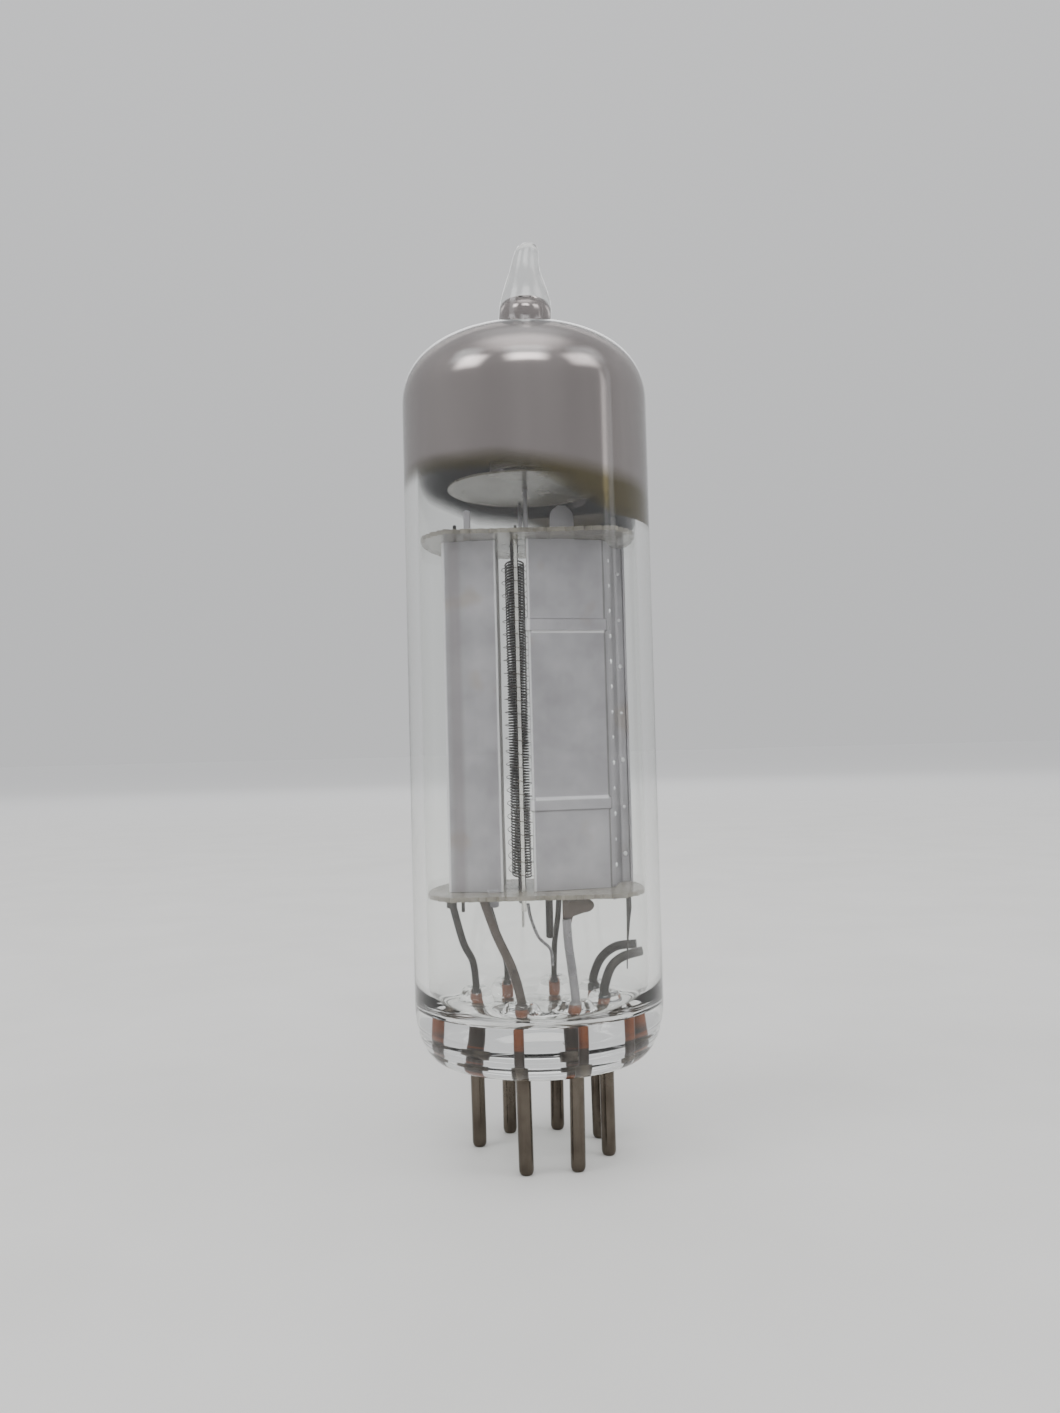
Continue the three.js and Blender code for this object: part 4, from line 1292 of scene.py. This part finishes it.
# Each grid has its turns, its half width, its wire's radius and how flat its rods are.
grids = [
    ("control_grid", 120, 0.45, 0.024, 1.0),
    ("screen_grid", 112, 0.66, 0.058, 1.0),
    ("suppressor_grid", 24, 0.93, 0.026, 0.7),
]
for grid, turns, half_width, wire_radius, flat in grids:
    for side in ("front", "back"):
        node = f"{grid}_rod_{side}"
        low, high = span(node)
        place = ((low.x + high.x) / 2, (low.y + high.y) / 2)
        rod_radius = (high.x - low.x) / 2
        rod = rounded_rod(node, place, rod_radius, low.z, high.z, flat)
        hand_over(rod, BRIGHT_WIRE, "bright_wire", node)
    lean = Vector((AXIS_X - place[0], place[1]))
    half_depth = lean.length + rod_radius * flat + wire_radius
    sizes = {
        "turns": float(turns), "half_width": half_width * MM, "half_depth": half_depth * MM,
        "low": WINDING_LOW * MM, "height": WINDING_HEIGHT * MM, "wire_radius": wire_radius * MM,
        "turned_by": math.atan2(lean.x, lean.y), "axis_x": AXIS_X * MM}
    base = mesh_object(f"{grid}_winding", [(0, 0, 0)], [])
    winding = run_tree(base, WINDING_TREE, **sizes, material=GRID_WIRE)
    hand_over(winding, GRID_WIRE, "bright_wire", f"{grid}_winding")


# %% [markdown]
# ## The cathode and the heater
# The cathode is an oval nickel sleeve with a white oxide coating over its working length. The heater is
# one coated wire, folded into four runs inside it, with both legs hanging out below.

# %% An oval tube
def oval_tube(name, half_width, half_depth, wall, low, high):
    outside = [(1, low), *run((1, low), (1, high), 12), (1, high)]
    piece = turned(name, [*outside, *[(0.5, z) for _, z in outside[::-1]]], segments=48, closed=True)
    for vertex in piece.data.vertices:
        angle = math.atan2(vertex.co.y, vertex.co.x)
        inset = 0 if math.hypot(vertex.co.x, vertex.co.y) / MM > 0.75 else wall
        vertex.co.x = (AXIS_X + (half_width - inset) * math.cos(angle)) * MM
        vertex.co.y = (half_depth - inset) * math.sin(angle) * MM
    return piece


COATED_HALF_WIDTH = 0.34
COATED_HALF_DEPTH = 0.91
sleeve = oval_tube("cathode_sleeve", 0.28, 0.85, 0.06, 10.9, 37.5)
coating = oval_tube("cathode_coating", COATED_HALF_WIDTH, COATED_HALF_DEPTH, 0.04, 13.5, 35)
hand_over(sleeve, CAGE_NICKEL, "cage_nickel", "cathode_sleeve")
hand_over(coating, OXIDE_WHITE, "oxide_white", "cathode_coating")


# %% The folded heater
HEATER_RADIUS = 0.085
HEATER_FOLD = 0.2
HEATER_END = 9.2


def heater_path():
    levels = [
        (HEATER_END, 11.4, 12.2, 20, 28, 36.8),
        (36.8, 28, 20, 11.9),
        (12.2, 20, 28, 36.8),
        (36.8, 28, 20, 12, HEATER_END),
    ]
    bends = (37.05, 11.6, 37.05)
    path = []
    for leg, climb in enumerate(levels):
        y = (2 * leg - 3) * HEATER_FOLD
        path += [(AXIS_X, y, z) for z in climb]
        if leg < len(bends):
            path.append((AXIS_X, (2 * leg - 2) * HEATER_FOLD, bends[leg]))
    return path


heater = swept_wire("heater", heater_path(), HEATER_RADIUS, OXIDE_WHITE, step=0.09, sides=10)
hand_over(heater, OXIDE_WHITE, "oxide_white", "heater")


# %% [markdown]
# ## Frame rods, getter and shield
# Two rods tie the micas together. Above the upper mica a strip carries a mica shield and, over it, the
# getter: a pressed channel bent into a ring, with its open side towards the dome.

# %% The rods, the post and the cathode's tab
for node in ("frame_rod_right", "frame_rod_left"):
    low, high = span(node)
    rod = rounded_rod(node, centre_of(node).xy, (high.x - low.x) / 2, low.z, high.z)
    hand_over(rod, DARK_WIRE, "cage_nickel", node)


def getter_post():
    low, high = span("getter_post")
    x, y = ((low + high) / 2).xy
    half = (high.x - low.x) / 2
    top = arc_points((x, high.z - half), (half, half), 0, 180, 8)
    foot = [(x - half, low.z), (x + half, low.z)]
    return plate("getter_post", [(px, y, pz) for px, pz in [*foot, *top]], 0.12)


def cathode_tab():
    low, high = span("cathode_tab")
    right = [(-0.55, low.z), (-0.36, low.z), (-0.36, high.z - 0.3)]
    left = [(-0.45, high.z), (-0.62, high.z - 0.1), (-0.62, low.z + 0.8)]
    return plate("cathode_tab", [(x, -0.95, z) for x, z in [*right, *left]], 0.08)


hand_over(getter_post(), LEAD_NICKEL, "cage_nickel", "getter_post")
hand_over(cathode_tab(), LEAD_NICKEL, "bright_wire", "cathode_tab")


# %% The getter ring
CHANNEL_HALF = 0.3
CHANNEL_FLAT = 0.2
CHANNEL_INSIDE_FLAT = 0.17
CHANNEL_WALL = 0.06


def getter_ring():
    low, high = span("getter_ring")
    middle = (high.x - low.x) / 2 - CHANNEL_HALF
    inner_half = CHANNEL_HALF - CHANNEL_WALL
    outside = [(CHANNEL_HALF, high.z), (CHANNEL_HALF, low.z + 0.12), (CHANNEL_FLAT, low.z)]
    inside = [(inner_half, high.z), (inner_half, low.z + 0.15), (CHANNEL_INSIDE_FLAT, low.z + CHANNEL_WALL)]
    profile = [(middle + half, z) for half, z in outside]
    profile += [(middle - half, z) for half, z in outside[::-1]]
    profile += [(middle - half, z) for half, z in inside]
    profile += [(middle + half, z) for half, z in inside[::-1]]
    return turned("getter_ring", profile, segments=72, centre=centre_of("getter_ring").xy, closed=True)


hand_over(getter_ring(), CAGE_NICKEL, "cage_nickel", "getter_ring")


# %% [markdown]
# ## The micas
# A mica is a thin sheet with a toothed rim that grips the bulb, punched to hold every rod and ear. Its
# front and back are cut straight. The holes differ, so they are drawn as closed curves on the base object.
# The tree adds the toothed rim, fills the space between rim and holes, and gives the sheet its thickness.

# %% Mica's finish
def mica_finish():
    mica = Finish("mica")
    flakes = mica.node("ShaderNodeTexVoronoi")
    flakes.inputs["Scale"].default_value = 900
    mica.link(mica.place, flakes.inputs["Vector"])
    cloud = mica.noise(500, detail=6)
    tone = mica.mixed(0.35, cloud, flakes.outputs["Distance"])
    colour = mica.ramp(tone, (0.3, (0.13, 0.114, 0.086)), (0.7, (0.27, 0.245, 0.195)))
    mica.link(colour, mica.shader.inputs["Base Color"])
    mica.link(mica.ramp(cloud, (0.3, 0.12), (0.7, 0.3)), mica.shader.inputs["Roughness"])
    mica.shader.inputs["Specular IOR Level"].default_value = 0.75
    along = mica.node("ShaderNodeLayerWeight")
    along.inputs["Blend"].default_value = 0.5
    clear = mica.ramp(along.outputs["Facing"], (0.0, 0.15), (0.6, 0.32), (0.82, 0.72), (1.0, 0.95))
    upright = mica.node("ShaderNodeSeparateXYZ")
    mica.link(mica.node("ShaderNodeTexCoord").outputs["Normal"], upright.inputs[0])
    flat = mica.maths("ABSOLUTE", upright.outputs["Z"])
    body = mica.mixed(flat, (0.85, 0.85, 0.85), clear)
    flaked = mica.mixed(mica.ramp(tone, (0.3, 0.0), (0.8, 0.3)), body, (0.6, 0.6, 0.6))
    mica.link(flaked, mica.shader.inputs["Alpha"])
    mica.bump(tone, 0.012, 0.4)
    return mica.material


MICA = mica_finish()


# %% The tree that cuts a mica
# The rim's circle has four points to a tooth. First its front and back are cut straight. Then the points
# whose turn it is move inwards by a seeded random part of the tooth's depth.
MICA_RADIUS = 7.72
MICA_FLAT = 5.4
MICA_TEETH = 44
TOOTH_DEPTH = 0.42
POINTS_PER_TOOTH = 4.0
TOOTH_PERIOD = 2.5
TOOTH_CREST = 1.1


def mica_tree():
    sizes = {"radius": MICA_RADIUS * MM, "tooth_depth": TOOTH_DEPTH * MM, "teeth": MICA_TEETH}
    mica = Shape("toothed_mica", True, **sizes, flat=MICA_FLAT * MM, level=0.0, thickness=0.3 * MM, seed=2)
    given = mica.given
    points = mica.maths("MULTIPLY", given["Teeth"], POINTS_PER_TOOTH)
    rim = mica.add("GeometryNodeCurvePrimitiveCircle", Resolution=points, Radius=given["Radius"])
    phase = mica.maths("MODULO", mica.add("GeometryNodeInputIndex"), TOOTH_PERIOD)
    is_low = mica.maths("GREATER_THAN", phase, TOOTH_CREST)
    ragged = mica.add("FunctionNodeRandomValue", Seed=given["Seed"], data_type="FLOAT", Min=0.35, Max=1.0)
    depth = mica.maths("MULTIPLY", mica.maths("MULTIPLY", is_low, ragged), given["Tooth Depth"])
    inward = mica.maths("MULTIPLY", mica.maths("DIVIDE", depth, given["Radius"]), -1.0)
    spot = mica.add("ShaderNodeSeparateXYZ", mica.add("GeometryNodeInputPosition")).node.outputs
    back = mica.maths("MULTIPLY", given["Flat"], -1.0)
    cut_off = mica.add("ShaderNodeClamp", spot["Y"], back, given["Flat"])
    flattened = mica.add("ShaderNodeCombineXYZ", spot["X"], cut_off)
    shift = mica.add("ShaderNodeVectorMath", flattened, Scale=inward, operation="SCALE")
    toothed = mica.add("GeometryNodeSetPosition", Geometry=rim, Position=flattened, Offset=shift)
    outline = mica.add("GeometryNodeJoinGeometry", [toothed, given["Geometry"]])
    sheet = mica.add("GeometryNodeFillCurve", Curve=outline)
    lift = mica.add(
        "GeometryNodeExtrudeMesh", Mesh=sheet, Offset_Scale=given["Thickness"], Individual=False)
    both = mica.add("GeometryNodeJoinGeometry", [lift, mica.add("GeometryNodeFlipFaces", Mesh=sheet)])
    height = mica.add("ShaderNodeCombineXYZ", Z=given["Level"])
    return mica.close(mica.add("GeometryNodeTransform", Geometry=both, Translation=height), smooth=False)


MICA_TREE = mica_tree()


# %% The holes
HOLE_GAP = 0.06
POST_GAP = 0.05
RODS = [f"{grid}_rod_{side}" for grid, *_ in grids for side in ("front", "back")]
RODS += ["frame_rod_right", "frame_rod_left"]


def oval_hole(x, y, half_width, half_depth, count):
    angles = [2 * math.pi * step / count for step in range(count)]
    return [(x + half_width * math.cos(a), y + half_depth * math.sin(a), 0) for a in angles]


def slot_hole(plan, start, end):
    margin = HOLE_GAP / 2
    stops = (start - margin, (start + end) / 2, end + margin)
    outside = [plan.at(stop) + plan.out(stop) * margin for stop in stops]
    inside = [plan.at(stop) - plan.out(stop) * (SHEET + margin) for stop in stops[::-1]]
    return [(point.x, point.y, 0) for point in [*outside, *inside]]


def mica_holes(level):
    holes = []
    for node in RODS:
        low, high = span(node)
        radius = (high.x - low.x) / 2 + HOLE_GAP
        holes.append(oval_hole(*centre_of(node).xy, radius, radius, 16))
    holes.append(oval_hole(AXIS_X, 0, COATED_HALF_WIDTH, COATED_HALF_DEPTH, 24))
    for _, plan, _, ears in sheets:
        passing = [facts for facts in ears if (facts[2] > CAGE_TOP) == (level > CAGE_BOTTOM)]
        holes += [slot_hole(plan, start, end) for start, end, _, _ in passing]
    return holes


# %% The two micas and the shield
def cut_mica(node, holes, radius, tooth_depth, teeth, flat, seed):
    low, high = span(node)
    sizes = {"radius": radius * MM, "tooth_depth": tooth_depth * MM, "teeth": teeth, "flat": flat * MM}
    places = {"level": low.z * MM, "thickness": (high.z - low.z) * MM}
    base = curve_object(node, holes, cyclic=True)
    mica = run_tree(base, MICA_TREE, **sizes, **places, seed=seed, material=MICA)
    hand_over(mica, MICA, "mica", node)


for node, level, seed in (("mica_lower", LOWER_MICA, 2), ("mica_upper", UPPER_MICA, 5)):
    cut_mica(node, mica_holes(level), MICA_RADIUS, TOOTH_DEPTH, MICA_TEETH, MICA_FLAT, seed)

shield_low, shield_high = span("shield_mica")
post_low, post_high = span("getter_post")
left, right = post_low.x - POST_GAP, post_high.x + POST_GAP
front, back = post_low.y - POST_GAP, post_high.y + POST_GAP
shield_slot = [(left, front, 0), (right, front, 0), (right, back, 0), (left, back, 0)]
cut_mica("shield_mica", [shield_slot], (shield_high.x - shield_low.x) / 2, 0.04, 24, 9, 3)


# %% [markdown]
# ## The count of pieces
# The visual model has to stay in the CAD model's box. Nothing of the CAD model is left showing, because
# every node has a finer piece that stands for it.

# %% Count the pieces and faces
print("pieces:", len(made), "faces:", sum(len(piece.data.polygons) for piece in made))
